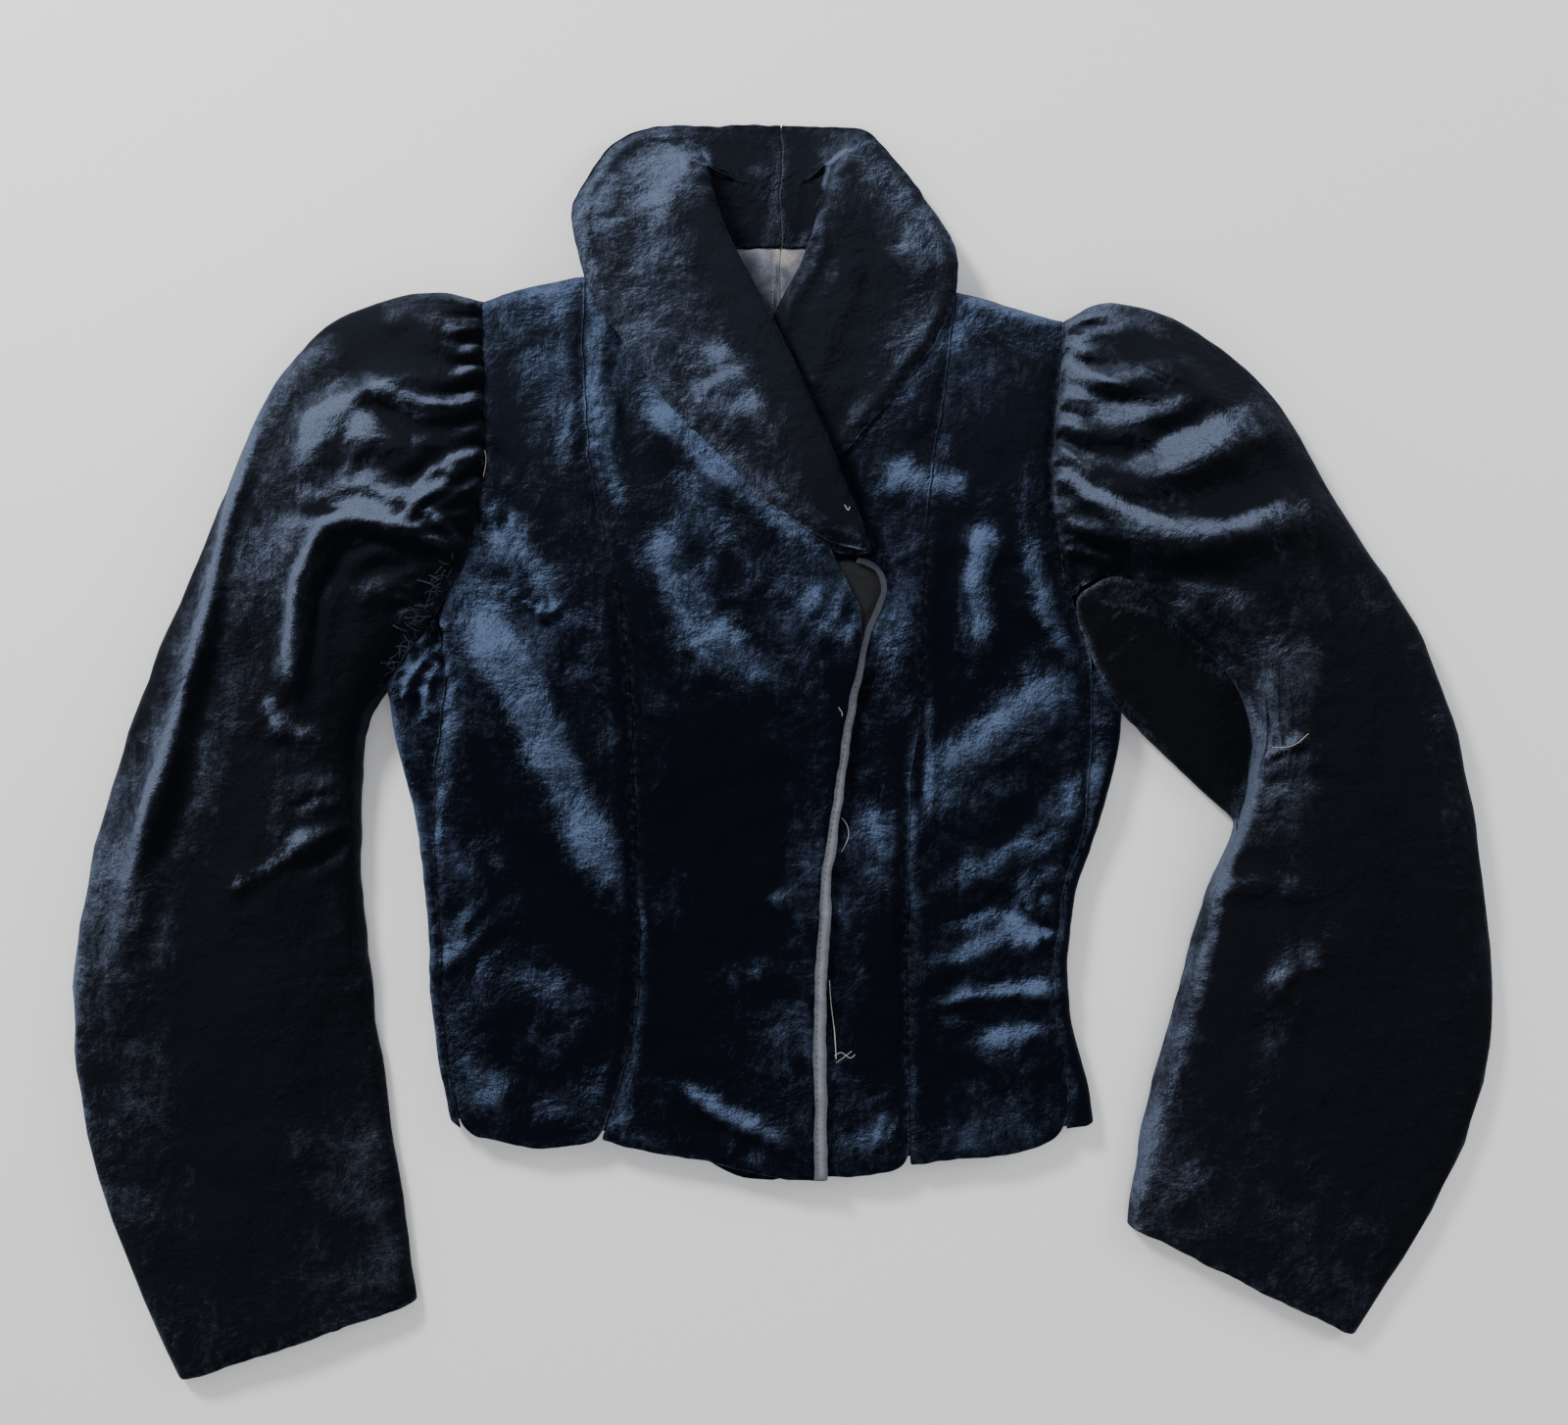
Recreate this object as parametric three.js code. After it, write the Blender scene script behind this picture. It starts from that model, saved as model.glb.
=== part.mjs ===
// A velvet jacket laid flat on its back, with the front up: two back panels, two side
// panels that turn up round the body, four front panels, gathered sleeves in two pieces,
// a shawl collar in two halves, a taped front edge and a little of the back's lining.
// Millimetres. X runs across the jacket and Y from the hem to the collar. Z is up.
// Left and right are the wearer's, so the right front is on the -X side.

import * as THREE from 'three';

// Thicknesses of the cloth
const VELVET = 2.4;
const LINING = 1.0;
const TAPE = 1.2;

// Clear gap at a seam, and between cloths that lie on each other
const SEAM = 0.3;

// Radius of the lower quarter of an edge that rolls up from the surface
const LOWER_ROLL = 5;

// Width of the upper quarter of the roll at the shoulder, the sides and the sleeves
const SHOULDER_ROLL = 11;
const SIDE_ROLL = 9;

// Rows up the body: from the hem to the armhole, and along the armhole to the shoulder
const ROWS_TO_ARMHOLE = 12;
const ROWS_ON_ARMHOLE = 8;
const ROLL_ANGLES = [60, 30, 0];

// Height of the body's top face, a row each from the hem to the neck
const BODY = [
  { at: -250, left: -196, right: 186, edge: 13, crown: 15 },
  { at: -180, left: -201, right: 176, edge: 14, crown: 17 },
  { at: -60, left: -211, right: 178, edge: 16, crown: 21 },
  { at: 40, left: -230, right: 202, edge: 18, crown: 28 },
  { at: 120, left: -205, right: 185, edge: 20, crown: 31 },
  { at: 200, left: -180, right: 165, edge: 21, crown: 27 },
  { at: 300, left: -176, right: 166, edge: 17, crown: 20 },
];

// How far the left front lies below the body's top face where the right front laps it,
// how far the right front lifts over it, and where its visible edge runs
const LAP = [
  { at: -250, drop: 3.6, lift: 1.6, edge: 27, reach: 0 },
  { at: -134, drop: 4, lift: 1.8, edge: 27, reach: 0 },
  { at: -40, drop: 4, lift: 1.8, edge: 33, reach: 0 },
  { at: 60, drop: 5.5, lift: 2.2, edge: 50, reach: 4 },
  { at: 115, drop: 10, lift: 3, edge: 54, reach: 18 },
  { at: 172, drop: 11, lift: 3, edge: 31, reach: 22 },
  { at: 252, drop: 11, lift: 2.5, edge: -5, reach: 22 },
  { at: 300, drop: 11, lift: 1, edge: -30, reach: 22 },
];

// Seams and edges, from the hem up
const SIDE_SEAM_RIGHT = [
  { x: -187, y: -218 },
  { x: -194, y: -190 },
  { x: -197, y: -150 },
  { x: -199, y: -99 },
  { x: -201, y: -64 },
  { x: -203, y: -36 },
  { x: -200, y: 0 },
  { x: -194, y: 40 },
  { x: -196, y: 66 },
  { x: -201, y: 80 },
];
const SIDE_EDGE_RIGHT = [
  { x: -195, y: -215 },
  { x: -202, y: -180 },
  { x: -206, y: -140 },
  { x: -208, y: -88 },
  { x: -211, y: -64 },
  { x: -215, y: -35 },
  { x: -223, y: -8 },
  { x: -228, y: 14 },
  { x: -231, y: 37 },
];
const SIDE_BACK_RIGHT = [
  { x: -128, y: -226 },
  { x: -138, y: -150 },
  { x: -152, y: -60 },
  { x: -166, y: 20 },
  { x: -181, y: 114 },
];
const ARMHOLE_RIGHT = [
  { x: -201, y: 80 },
  { x: -189, y: 100 },
  { x: -181, y: 116 },
  { x: -176, y: 134 },
  { x: -173, y: 155 },
  { x: -172, y: 190 },
  { x: -173, y: 230 },
  { x: -175, y: 266 },
];
const FRONT_SEAM_RIGHT = [
  { x: -105, y: -225 },
  { x: -93, y: -190 },
  { x: -84, y: -145 },
  { x: -83, y: -99 },
  { x: -85, y: -40 },
  { x: -87, y: 28 },
  { x: -90, y: 72 },
  { x: -99, y: 116 },
  { x: -110, y: 166 },
  { x: -114, y: 210 },
  { x: -114, y: 281 },
];
const FRONT_EDGE_RIGHT = [
  { x: 27, y: -249 },
  { x: 26, y: -192 },
  { x: 27, y: -134 },
  { x: 30, y: -76 },
  { x: 33, y: -40 },
  { x: 39, y: 0 },
  { x: 45, y: 40 },
  { x: 49, y: 66 },
  { x: 46, y: 86 },
  { x: 38, y: 102 },
  { x: 29, y: 119 },
  { x: 6, y: 157 },
  { x: -12, y: 192 },
  { x: -32, y: 230 },
  { x: -45, y: 258 },
  { x: -56, y: 292 },
];
const SIDE_SEAM_LEFT = [
  { x: 167, y: -219 },
  { x: 171, y: -204 },
  { x: 165, y: -182 },
  { x: 160, y: -150 },
  { x: 161, y: -110 },
  { x: 167, y: -71 },
  { x: 177, y: -46 },
  { x: 180, y: -10 },
  { x: 181, y: 24 },
  { x: 181, y: 51 },
];
const SIDE_EDGE_LEFT = [
  { x: 184, y: -216 },
  { x: 183, y: -198 },
  { x: 174, y: -171 },
  { x: 169, y: -148 },
  { x: 170, y: -104 },
  { x: 176, y: -71 },
  { x: 186, y: -46 },
  { x: 192, y: -24 },
  { x: 198, y: 0 },
  { x: 200, y: 23 },
];
const SIDE_BACK_LEFT = [
  { x: 118, y: -232 },
  { x: 126, y: -150 },
  { x: 138, y: -60 },
  { x: 150, y: 20 },
  { x: 165, y: 100 },
];
const ARMHOLE_LEFT = [
  { x: 181, y: 51 },
  { x: 174, y: 68 },
  { x: 168, y: 90 },
  { x: 163, y: 113 },
  { x: 158, y: 146 },
  { x: 157, y: 172 },
  { x: 160, y: 205 },
  { x: 163, y: 232 },
  { x: 165, y: 254 },
];
const FRONT_SEAM_LEFT = [
  { x: 75, y: -239 },
  { x: 74, y: -190 },
  { x: 74, y: -134 },
  { x: 74, y: -76 },
  { x: 73, y: -41 },
  { x: 76, y: -6 },
  { x: 81, y: 36 },
  { x: 81, y: 86 },
  { x: 84, y: 133 },
  { x: 90, y: 179 },
  { x: 97, y: 226 },
  { x: 103, y: 272 },
];
const FRONT_EDGE_LEFT = [
  { x: -36, y: -242 },
  { x: -40, y: -150 },
  { x: -42, y: -60 },
  { x: -43, y: 20 },
  { x: -42, y: 70 },
  { x: -40, y: 117 },
  { x: -14, y: 157 },
  { x: 4, y: 192 },
  { x: 20, y: 230 },
  { x: 32, y: 258 },
  { x: 42, y: 290 },
];
const CENTRE_BACK = [
  { x: 0, y: -251 },
  { x: 0, y: -80 },
  { x: 0, y: 100 },
  { x: 0, y: 298 },
];

// Hems and shoulder lines, from the outer side to the centre
const HEM_SIDE_RIGHT = [
  { x: -187, y: -218 },
  { x: -181, y: -222 },
  { x: -160, y: -228 },
  { x: -128, y: -230 },
  { x: -105, y: -225 },
];
const HEM_CENTRE_RIGHT = [
  { x: -105, y: -225 },
  { x: -85, y: -230 },
  { x: -50, y: -237 },
  { x: -20, y: -244 },
  { x: 5, y: -248 },
  { x: 27, y: -249 },
];
const HEM_SIDE_LEFT = [
  { x: 167, y: -219 },
  { x: 157, y: -228 },
  { x: 147, y: -231 },
  { x: 119, y: -236 },
  { x: 75, y: -239 },
];
const HEM_CENTRE_LEFT = [
  { x: 75, y: -239 },
  { x: 63, y: -244 },
  { x: 30, y: -247 },
  { x: 0, y: -246 },
  { x: -36, y: -242 },
];
const HEM_BACK_RIGHT = [
  { x: -128, y: -226 },
  { x: -105, y: -221 },
  { x: -70, y: -229 },
  { x: -46, y: -237 },
  { x: -37, y: -248 },
  { x: -22, y: -252.5 },
  { x: 0, y: -251 },
];
const HEM_BACK_LEFT = [
  { x: 118, y: -232 },
  { x: 80, y: -236 },
  { x: 40, y: -242 },
  { x: 16, y: -246 },
  { x: 0, y: -251 },
];
const SHOULDER_SIDE_RIGHT = [
  { x: -175, y: 266 },
  { x: -155, y: 273 },
  { x: -135, y: 277 },
  { x: -114, y: 281 },
];
const SHOULDER_CENTRE_RIGHT = [
  { x: -114, y: 281 },
  { x: -85, y: 287 },
  { x: -56, y: 292 },
];
const SHOULDER_SIDE_LEFT = [
  { x: 165, y: 254 },
  { x: 141, y: 260 },
  { x: 118, y: 267 },
  { x: 103, y: 272 },
];
const SHOULDER_CENTRE_LEFT = [
  { x: 103, y: 272 },
  { x: 72, y: 283 },
  { x: 42, y: 290 },
];
const SHOULDER_BACK_RIGHT = [
  { x: -175, y: 266 },
  { x: -135, y: 277 },
  { x: -85, y: 287 },
  { x: -56, y: 292 },
  { x: -28, y: 297 },
  { x: 0, y: 298 },
];
const SHOULDER_BACK_LEFT = [
  { x: 165, y: 254 },
  { x: 118, y: 267 },
  { x: 72, y: 283 },
  { x: 42, y: 290 },
  { x: 20, y: 297 },
  { x: 0, y: 298 },
];

// Sections of the sleeves from the armhole to the cuff: inner edge, outer edge, height of
// the middle, height and width of the roll at the two edges
const SLEEVE_RIGHT = [
  { at: 0.0, innerX: -231, innerY: 37, outerX: -175, outerY: 266, high: 22, roll: 18, wide: 10 },
  { at: 0.08, innerX: -240, innerY: 27, outerX: -209, outerY: 271, high: 38, roll: 22, wide: 14 },
  { at: 0.17, innerX: -245, innerY: 10, outerX: -262, outerY: 254, high: 42, roll: 23, wide: 16 },
  { at: 0.27, innerX: -247, innerY: -14, outerX: -300, outerY: 213, high: 37, roll: 22, wide: 16 },
  { at: 0.4, innerX: -247, innerY: -62, outerX: -333, outerY: 137, high: 31, roll: 20, wide: 15 },
  { at: 0.52, innerX: -244, innerY: -102, outerX: -369, outerY: 54, high: 30, roll: 19, wide: 14 },
  { at: 0.63, innerX: -240, innerY: -145, outerX: -399, outerY: -33, high: 27, roll: 17, wide: 13 },
  { at: 0.74, innerX: -233, innerY: -194, outerX: -417, outerY: -125, high: 24, roll: 16, wide: 12 },
  { at: 0.84, innerX: -226, innerY: -240, outerX: -413, outerY: -207, high: 20, roll: 15, wide: 11 },
  { at: 0.92, innerX: -220, innerY: -282, outerX: -393, outerY: -282, high: 18, roll: 14, wide: 10 },
  { at: 1.0, innerX: -214, innerY: -321, outerX: -354, outerY: -369, high: 16, roll: 13, wide: 9 },
];
const SLEEVE_LEFT = [
  { at: 0.0, innerX: 200, innerY: 23, outerX: 165, outerY: 254, high: 22, roll: 18, wide: 10 },
  { at: 0.08, innerX: 215, innerY: 9, outerX: 196, outerY: 265, high: 38, roll: 22, wide: 14 },
  { at: 0.17, innerX: 237, innerY: -12, outerX: 249, outerY: 245, high: 42, roll: 23, wide: 16 },
  { at: 0.26, innerX: 257, innerY: -31, outerX: 293, outerY: 205, high: 38, roll: 23, wide: 16 },
  { at: 0.32, innerX: 267, innerY: -40, outerX: 314, outerY: 169, high: 35, roll: 22, wide: 16 },
  { at: 0.38, innerX: 261, innerY: -60, outerX: 337, outerY: 130, high: 32, roll: 21, wide: 15 },
  { at: 0.48, innerX: 246, innerY: -90, outerX: 378, outerY: 70, high: 31, roll: 20, wide: 14 },
  { at: 0.6, innerX: 240, innerY: -118, outerX: 405, outerY: -20, high: 28, roll: 18, wide: 13 },
  { at: 0.72, innerX: 228, innerY: -160, outerX: 418, outerY: -112, high: 24, roll: 16, wide: 12 },
  { at: 0.84, innerX: 214, innerY: -210, outerX: 417, outerY: -188, high: 20, roll: 15, wide: 11 },
  { at: 0.92, innerX: 208, innerY: -245, outerX: 389, outerY: -262, high: 18, roll: 14, wide: 10 },
  { at: 1.0, innerX: 204, innerY: -276, outerX: 337, outerY: -342, high: 16, roll: 13, wide: 9 },
];

// The rolled fold of the left upper sleeve, which lies on the under sleeve
const SLEEVE_LEFT_FOLD = [
  { at: 0.0, x: 167, y: 92 },
  { at: 0.04, x: 184, y: 103 },
  { at: 0.09, x: 206, y: 99 },
  { at: 0.14, x: 222, y: 84 },
  { at: 0.19, x: 243, y: 62 },
  { at: 0.24, x: 265, y: 43 },
  { at: 0.28, x: 276, y: 14 },
  { at: 0.32, x: 274, y: -18 },
  { at: 0.36, x: 264, y: -52 },
];

// Gathers of the sleeve heads, from the armhole out, and the folds that run on from them
const GATHERS_RIGHT = [
  { x0: -174, y0: 259, x1: -202, y1: 262, wide: 5, high: 5 },
  { x0: -173, y0: 245, x1: -212, y1: 250, wide: 5, high: 6 },
  { x0: -172, y0: 230, x1: -203, y1: 238, wide: 5, high: 6 },
  { x0: -172, y0: 215, x1: -226, y1: 216, wide: 6, high: 7 },
  { x0: -172, y0: 199, x1: -236, y1: 212, wide: 6, high: 8 },
  { x0: -172, y0: 182, x1: -212, y1: 171, wide: 6, high: 7 },
  { x0: -173, y0: 166, x1: -200, y1: 143, wide: 6, high: 7 },
  { x0: -176, y0: 148, x1: -219, y1: 127, wide: 6, high: 8 },
  { x0: -180, y0: 130, x1: -236, y1: 119, wide: 7, high: 8 },
  { x0: -188, y0: 110, x1: -232, y1: 92, wide: 6, high: 5 },
];
const FOLDS_RIGHT = [
  { x0: -272, y0: 170, x1: -227, y1: 179, wide: 10, high: 6 },
  { x0: -268, y0: 161, x1: -216, y1: 140, wide: 9, high: 6 },
  { x0: -280, y0: 41, x1: -268, y1: 127, wide: 12, high: 9 },
  { x0: -268, y0: 127, x1: -190, y1: 132, wide: 10, high: 7 },
  { x0: -264, y0: 118, x1: -204, y1: 128, wide: 8, high: 5 },
  { x0: -296, y0: 213, x1: -314, y1: 145, wide: 14, high: 7 },
  { x0: -314, y0: 145, x1: -332, y1: 70, wide: 14, high: 8 },
  { x0: -332, y0: 70, x1: -364, y1: -36, wide: 14, high: 8 },
  { x0: -364, y0: -36, x1: -386, y1: -120, wide: 13, high: 6 },
  { x0: -283, y0: -27, x1: -258, y1: -24, wide: 6, high: 3 },
  { x0: -322, y0: -79, x1: -269, y1: -49, wide: 8, high: 4 },
  { x0: -259, y0: -94, x1: -243, y1: -104, wide: 5, high: 3 },
  { x0: -262, y0: -118, x1: -243, y1: -126, wide: 5, high: 3 },
];
const GATHERS_LEFT = [
  { x0: 166, y0: 248, x1: 180, y1: 252, wide: 4, high: 5 },
  { x0: 165, y0: 240, x1: 186, y1: 242, wide: 4, high: 5 },
  { x0: 163, y0: 230, x1: 184, y1: 229, wide: 4, high: 6 },
  { x0: 162, y0: 218, x1: 201, y1: 212, wide: 5, high: 7 },
  { x0: 160, y0: 205, x1: 223, y1: 221, wide: 6, high: 8 },
  { x0: 158, y0: 190, x1: 208, y1: 182, wide: 5, high: 7 },
  { x0: 158, y0: 174, x1: 187, y1: 148, wide: 6, high: 8 },
  { x0: 159, y0: 160, x1: 200, y1: 152, wide: 5, high: 6 },
  { x0: 161, y0: 146, x1: 234, y1: 128, wide: 6, high: 8 },
  { x0: 165, y0: 130, x1: 214, y1: 127, wide: 6, high: 7 },
];
const FOLDS_LEFT = [
  { x0: 223, y0: 221, x1: 252, y1: 199, wide: 10, high: 6 },
  { x0: 210, y0: 159, x1: 284, y1: 190, wide: 12, high: 8 },
  { x0: 190, y0: 128, x1: 259, y1: 122, wide: 12, high: 9 },
  { x0: 259, y0: 122, x1: 313, y1: 138, wide: 13, high: 9 },
  { x0: 187, y0: 148, x1: 234, y1: 129, wide: 8, high: 5 },
  { x0: 222, y0: 100, x1: 262, y1: 66, wide: 12, high: 5 },
  { x0: 277, y0: 12, x1: 304, y1: 6, wide: 6, high: 3 },
  { x0: 292, y0: -116, x1: 315, y1: -122, wide: 7, high: 3 },
];

// Largest folds of the fronts
const FOLDS_FRONT = [
  { x0: -96, y0: 110, x1: -99, y1: -96, wide: 9, high: 3.5 },
  { x0: -112, y0: 262, x1: -116, y1: 176, wide: 9, high: 3 },
  { x0: -184, y0: 88, x1: -86, y1: -92, wide: 16, high: 3 },
  { x0: -204, y0: -110, x1: -182, y1: -96, wide: 8, high: 2 },
  { x0: -56, y0: -192, x1: 2, y1: -220, wide: 9, high: 2 },
  { x0: 110, y0: -140, x1: 158, y1: -138, wide: 7, high: 2.5 },
  { x0: 129, y0: -88, x1: 162, y1: -104, wide: 7, high: 2.5 },
  { x0: 84, y0: 128, x1: 74, y1: -40, wide: 12, high: 2.5 },
];

// Sections of the collar from the centre back to the end of the lapel: a is the neck seam,
// b the roll with its low and high side, c the free edge. Where on is 1 the heights are
// above the front's top face, elsewhere above the surface that the jacket lies on.
const COLLAR_RIGHT = [
  { at: 0.0, ax: -0.2, ay: 298.4, bx: -0.2, by: 334, cx: -0.2, cy: 371.5,
    on: 0, a: 2.4, low: 2.4, high: 2.4, c: 2.4 },
  { at: 0.09, ax: -9, ay: 298.4, bx: -13, by: 335, cx: -28, cy: 371.5,
    on: 0, a: 2.4, low: 2.6, high: 2.8, c: 2.6 },
  { at: 0.17, ax: -17, ay: 298.3, bx: -26, by: 337, cx: -56, cy: 371,
    on: 0, a: 2.8, low: 3.2, high: 5, c: 4 },
  { at: 0.24, ax: -24, ay: 298, bx: -37, by: 341, cx: -79, cy: 369,
    on: 0, a: 4, low: 5, high: 12, c: 6 },
  { at: 0.31, ax: -31, ay: 297.5, bx: -43, by: 342, cx: -99, cy: 357,
    on: 0, a: 5, low: 8, high: 22, c: 10 },
  { at: 0.38, ax: -38, ay: 297, bx: -40, by: 331, cx: -114, cy: 337,
    on: 0, a: 6, low: 11, high: 29, c: 14 },
  { at: 0.45, ax: -45, ay: 294, bx: -35, by: 314, cx: -122, cy: 316,
    on: 0, a: 9, low: 14, high: 33, c: 19 },
  { at: 0.52, ax: -48, ay: 278, bx: -28, by: 296, cx: -119, cy: 291,
    on: 1, a: -2.4, low: -2.4, high: 11, c: 3.6 },
  { at: 0.59, ax: -43, ay: 259, bx: -17, by: 275, cx: -108, cy: 262,
    on: 1, a: -2.4, low: -2.4, high: 11, c: 3.6 },
  { at: 0.67, ax: -30, ay: 231, bx: -5, by: 252, cx: -88, cy: 232,
    on: 1, a: -2.4, low: -2.4, high: 11, c: 3.6 },
  { at: 0.76, ax: -10, ay: 193, bx: 13, by: 214, cx: -62, cy: 198,
    on: 1, a: -2.4, low: -2.4, high: 10, c: 3.6 },
  { at: 0.85, ax: 9, ay: 158, bx: 31, by: 172, cx: -28, cy: 161,
    on: 1, a: -2.4, low: -2.4, high: 9.5, c: 3.6 },
  { at: 0.93, ax: 23, ay: 134, bx: 43, by: 143, cx: 6, cy: 134,
    on: 1, a: -2.4, low: -2.4, high: 9, c: 3.6 },
  { at: 1.0, ax: 33, ay: 117, bx: 53, by: 116, cx: 30, cy: 121,
    on: 1, a: -2.4, low: -2.4, high: 8, c: 3.6 },
];
const COLLAR_LEFT = [
  { at: 0.0, ax: 0.2, ay: 298.4, bx: 0.2, by: 334, cx: 0.2, cy: 371.5,
    on: 0, a: 2.4, low: 2.4, high: 2.4, c: 2.4 },
  { at: 0.09, ax: 5, ay: 298.4, bx: 8, by: 335, cx: 17, cy: 371,
    on: 0, a: 2.4, low: 2.6, high: 2.8, c: 2.6 },
  { at: 0.17, ax: 10, ay: 298.3, bx: 17, by: 338, cx: 33, cy: 370,
    on: 0, a: 2.8, low: 3, high: 5, c: 4 },
  { at: 0.24, ax: 14, ay: 298, bx: 24, by: 344, cx: 49, cy: 367,
    on: 0, a: 4, low: 5, high: 12, c: 6 },
  { at: 0.31, ax: 20, ay: 297.5, bx: 28, by: 341, cx: 64, cy: 352,
    on: 0, a: 5, low: 7, high: 20, c: 9 },
  { at: 0.38, ax: 27, ay: 297, bx: 25, by: 330, cx: 81, cy: 329,
    on: 0, a: 6, low: 10, high: 26, c: 13 },
  { at: 0.45, ax: 34, ay: 294, bx: 20, by: 312, cx: 95, cy: 308,
    on: 0, a: 8, low: 12, high: 29, c: 18 },
  { at: 0.52, ax: 37, ay: 278, bx: 16, by: 294, cx: 103, cy: 287,
    on: 1, a: -2.4, low: -2.4, high: 9, c: 3.6 },
  { at: 0.59, ax: 31, ay: 259, bx: 7, by: 275, cx: 101, cy: 262,
    on: 1, a: -2.4, low: -2.4, high: 7, c: 3.6 },
  { at: 0.67, ax: 19, ay: 231, bx: -5, by: 251, cx: 86, cy: 233,
    on: 1, a: -2.4, low: -2.4, high: 6, c: 3.6 },
  { at: 0.76, ax: 2, ay: 193, bx: -22, by: 212, cx: 58, cy: 198,
    on: 1, a: -2.4, low: -2.4, high: 6, c: 3.4 },
  { at: 0.85, ax: -16, ay: 158, bx: -40, by: 172, cx: 25, cy: 166,
    on: 1, a: -2.4, low: -2.4, high: 6, c: 3.4 },
  { at: 0.93, ax: -30, ay: 134, bx: -51, by: 144, cx: -8, cy: 136,
    on: 1, a: -2.4, low: -2.4, high: 6, c: 3.4 },
  { at: 1.0, ax: -41, ay: 117, bx: -60, by: 117, cx: -36, cy: 121,
    on: 1, a: -2.4, low: -2.4, high: 6, c: 3.4 },
];

// The grey tape on the right front's edge. It comes away from the velvet at the top corner,
// where free is 1.
const TAPE_LINE = [
  { at: 0.0, x: 23.6, y: -248, free: 0, wide: 7 },
  { at: 0.2, x: 22.7, y: -170, free: 0, wide: 7 },
  { at: 0.4, x: 25.5, y: -86, free: 0, wide: 6.6 },
  { at: 0.6, x: 33.8, y: -18, free: 0, wide: 5.2 },
  { at: 0.72, x: 42.6, y: 36, free: 0, wide: 4.2 },
  { at: 0.8, x: 49, y: 66, free: 0, wide: 3.8 },
  { at: 0.86, x: 56, y: 84, free: 0.7, wide: 3.6 },
  { at: 0.92, x: 60, y: 98, free: 1, wide: 3.4 },
  { at: 0.96, x: 56, y: 108, free: 1, wide: 3.2 },
  { at: 1.0, x: 44, y: 112.5, free: 1, wide: 3 },
];

// The facing behind the edge, from below the tape to the tape's free corner
const FACING_LINE = [
  { at: 0, y: 66, inner: 37, outer: 48 },
  { at: 0.25, y: 78, inner: 36, outer: 53 },
  { at: 0.5, y: 89, inner: 32, outer: 57.5 },
  { at: 0.75, y: 101, inner: 26, outer: 58.5 },
  { at: 1, y: 112, inner: 20, outer: 46 },
];

// The lining behind the neck: its width on each side of the centre
const NECK_LINING = [
  { at: 0, y: 222, right: 20, left: 16 },
  { at: 0.6, y: 268, right: 40, left: 34 },
  { at: 1, y: 297.4, right: 28, left: 17 },
];

// Colours of the cloths, and of the velvet where its nap lies the other way
const COLOURS = {
  velvet: { color: 0x11141c, roughness: 0.9 },
  under: { color: 0x0c0e14, roughness: 0.95 },
  tape: { color: 0x7d8084, roughness: 0.85 },
  facing: { color: 0x0b0b0e, roughness: 0.9 },
  lining: { color: 0x7f8c99, roughness: 0.6 },
};

const UP = new THREE.Vector3(0, 0, 1);
const DOWN = new THREE.Vector3(0, 0, -1);

function clamp(value, low, high) {
  return Math.min(high, Math.max(low, value));
}

function mix(from, to, share) {
  return from + (to - from) * share;
}

// Soft step from 0 to 1
function ease(from, to, value) {
  const share = clamp((value - from) / (to - from), 0, 1);
  return share * share * (3 - 2 * share);
}

function spread(count) {
  return Array.from({ length: count }, (_, index) => index / (count - 1));
}

// Reads every named column of a table between its rows, on a smooth curve
function reader(table) {
  const names = Object.keys(table[0]).filter((name) => name !== 'at');
  const slope = (row, name) => {
    const before = table[Math.max(0, row - 1)];
    const after = table[Math.min(table.length - 1, row + 1)];
    return (after[name] - before[name]) / (after.at - before.at);
  };
  return (at) => {
    const place = clamp(at, table[0].at, table[table.length - 1].at);
    let row = 0;
    while (row < table.length - 2 && table[row + 1].at < place) {
      row += 1;
    }
    const span = table[row + 1].at - table[row].at;
    const t = (place - table[row].at) / span;
    const values = {};
    for (const name of names) {
      const rise = table[row + 1][name] - table[row][name];
      const s0 = slope(row, name) * span;
      const s1 = slope(row + 1, name) * span;
      const bend = t * (1 - t) * ((1 - t) * (s0 - rise) - t * (s1 - rise));
      values[name] = table[row][name] + rise * t + bend;
    }
    return values;
  };
}

// A smooth line in plan through the rows of a table
function line(table) {
  const points = table.map(({ x, y }) => new THREE.Vector3(x, y, 0));
  const curve = new THREE.CatmullRomCurve3(points, false, 'centripetal');
  curve.arcLengthDivisions = 600;
  return curve;
}

function pointsAt(curve, shares) {
  return shares.map((share) => curve.getPointAt(share));
}

// Share of a curve's length at which it reaches a height in plan
function shareAtY(curve, y) {
  let low = 0;
  let high = 1;
  for (let step = 0; step < 40; step += 1) {
    const middle = (low + high) / 2;
    if (curve.getPointAt(middle).y < y) {
      low = middle;
    } else {
      high = middle;
    }
  }
  return low;
}

// Height that a table's folds add at a place in plan: each is a soft ridge along a line
function folds(table, x, y) {
  let height = 0;
  for (const fold of table) {
    const runX = fold.x1 - fold.x0;
    const runY = fold.y1 - fold.y0;
    const share = ((x - fold.x0) * runX + (y - fold.y0) * runY) / (runX ** 2 + runY ** 2);
    const along = clamp(share, 0, 1);
    const away = Math.hypot(x - fold.x0 - along * runX, y - fold.y0 - along * runY);
    height += fold.high * Math.exp(-((away / fold.wide) ** 2));
  }
  return height;
}

const bodyAt = reader(BODY);
const lapAt = reader(LAP);

// Top face of the body where the fronts lie on each other or alone
function bodyTop(x, y) {
  const { left, right, edge, crown } = bodyAt(y);
  const across = clamp((x - left) / (right - left), 0, 1);
  const inward = 1 - Math.abs(2 * across - 1) ** 2.6;
  return edge + (crown - edge) * inward + folds(FOLDS_FRONT, x, y);
}

// Top face of the right front, which rises over the left one at its edge
function upperFace(x, y) {
  const { lift, edge } = lapAt(y);
  return bodyTop(x, y) + lift * ease(edge - 60, edge - 10, x);
}

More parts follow.
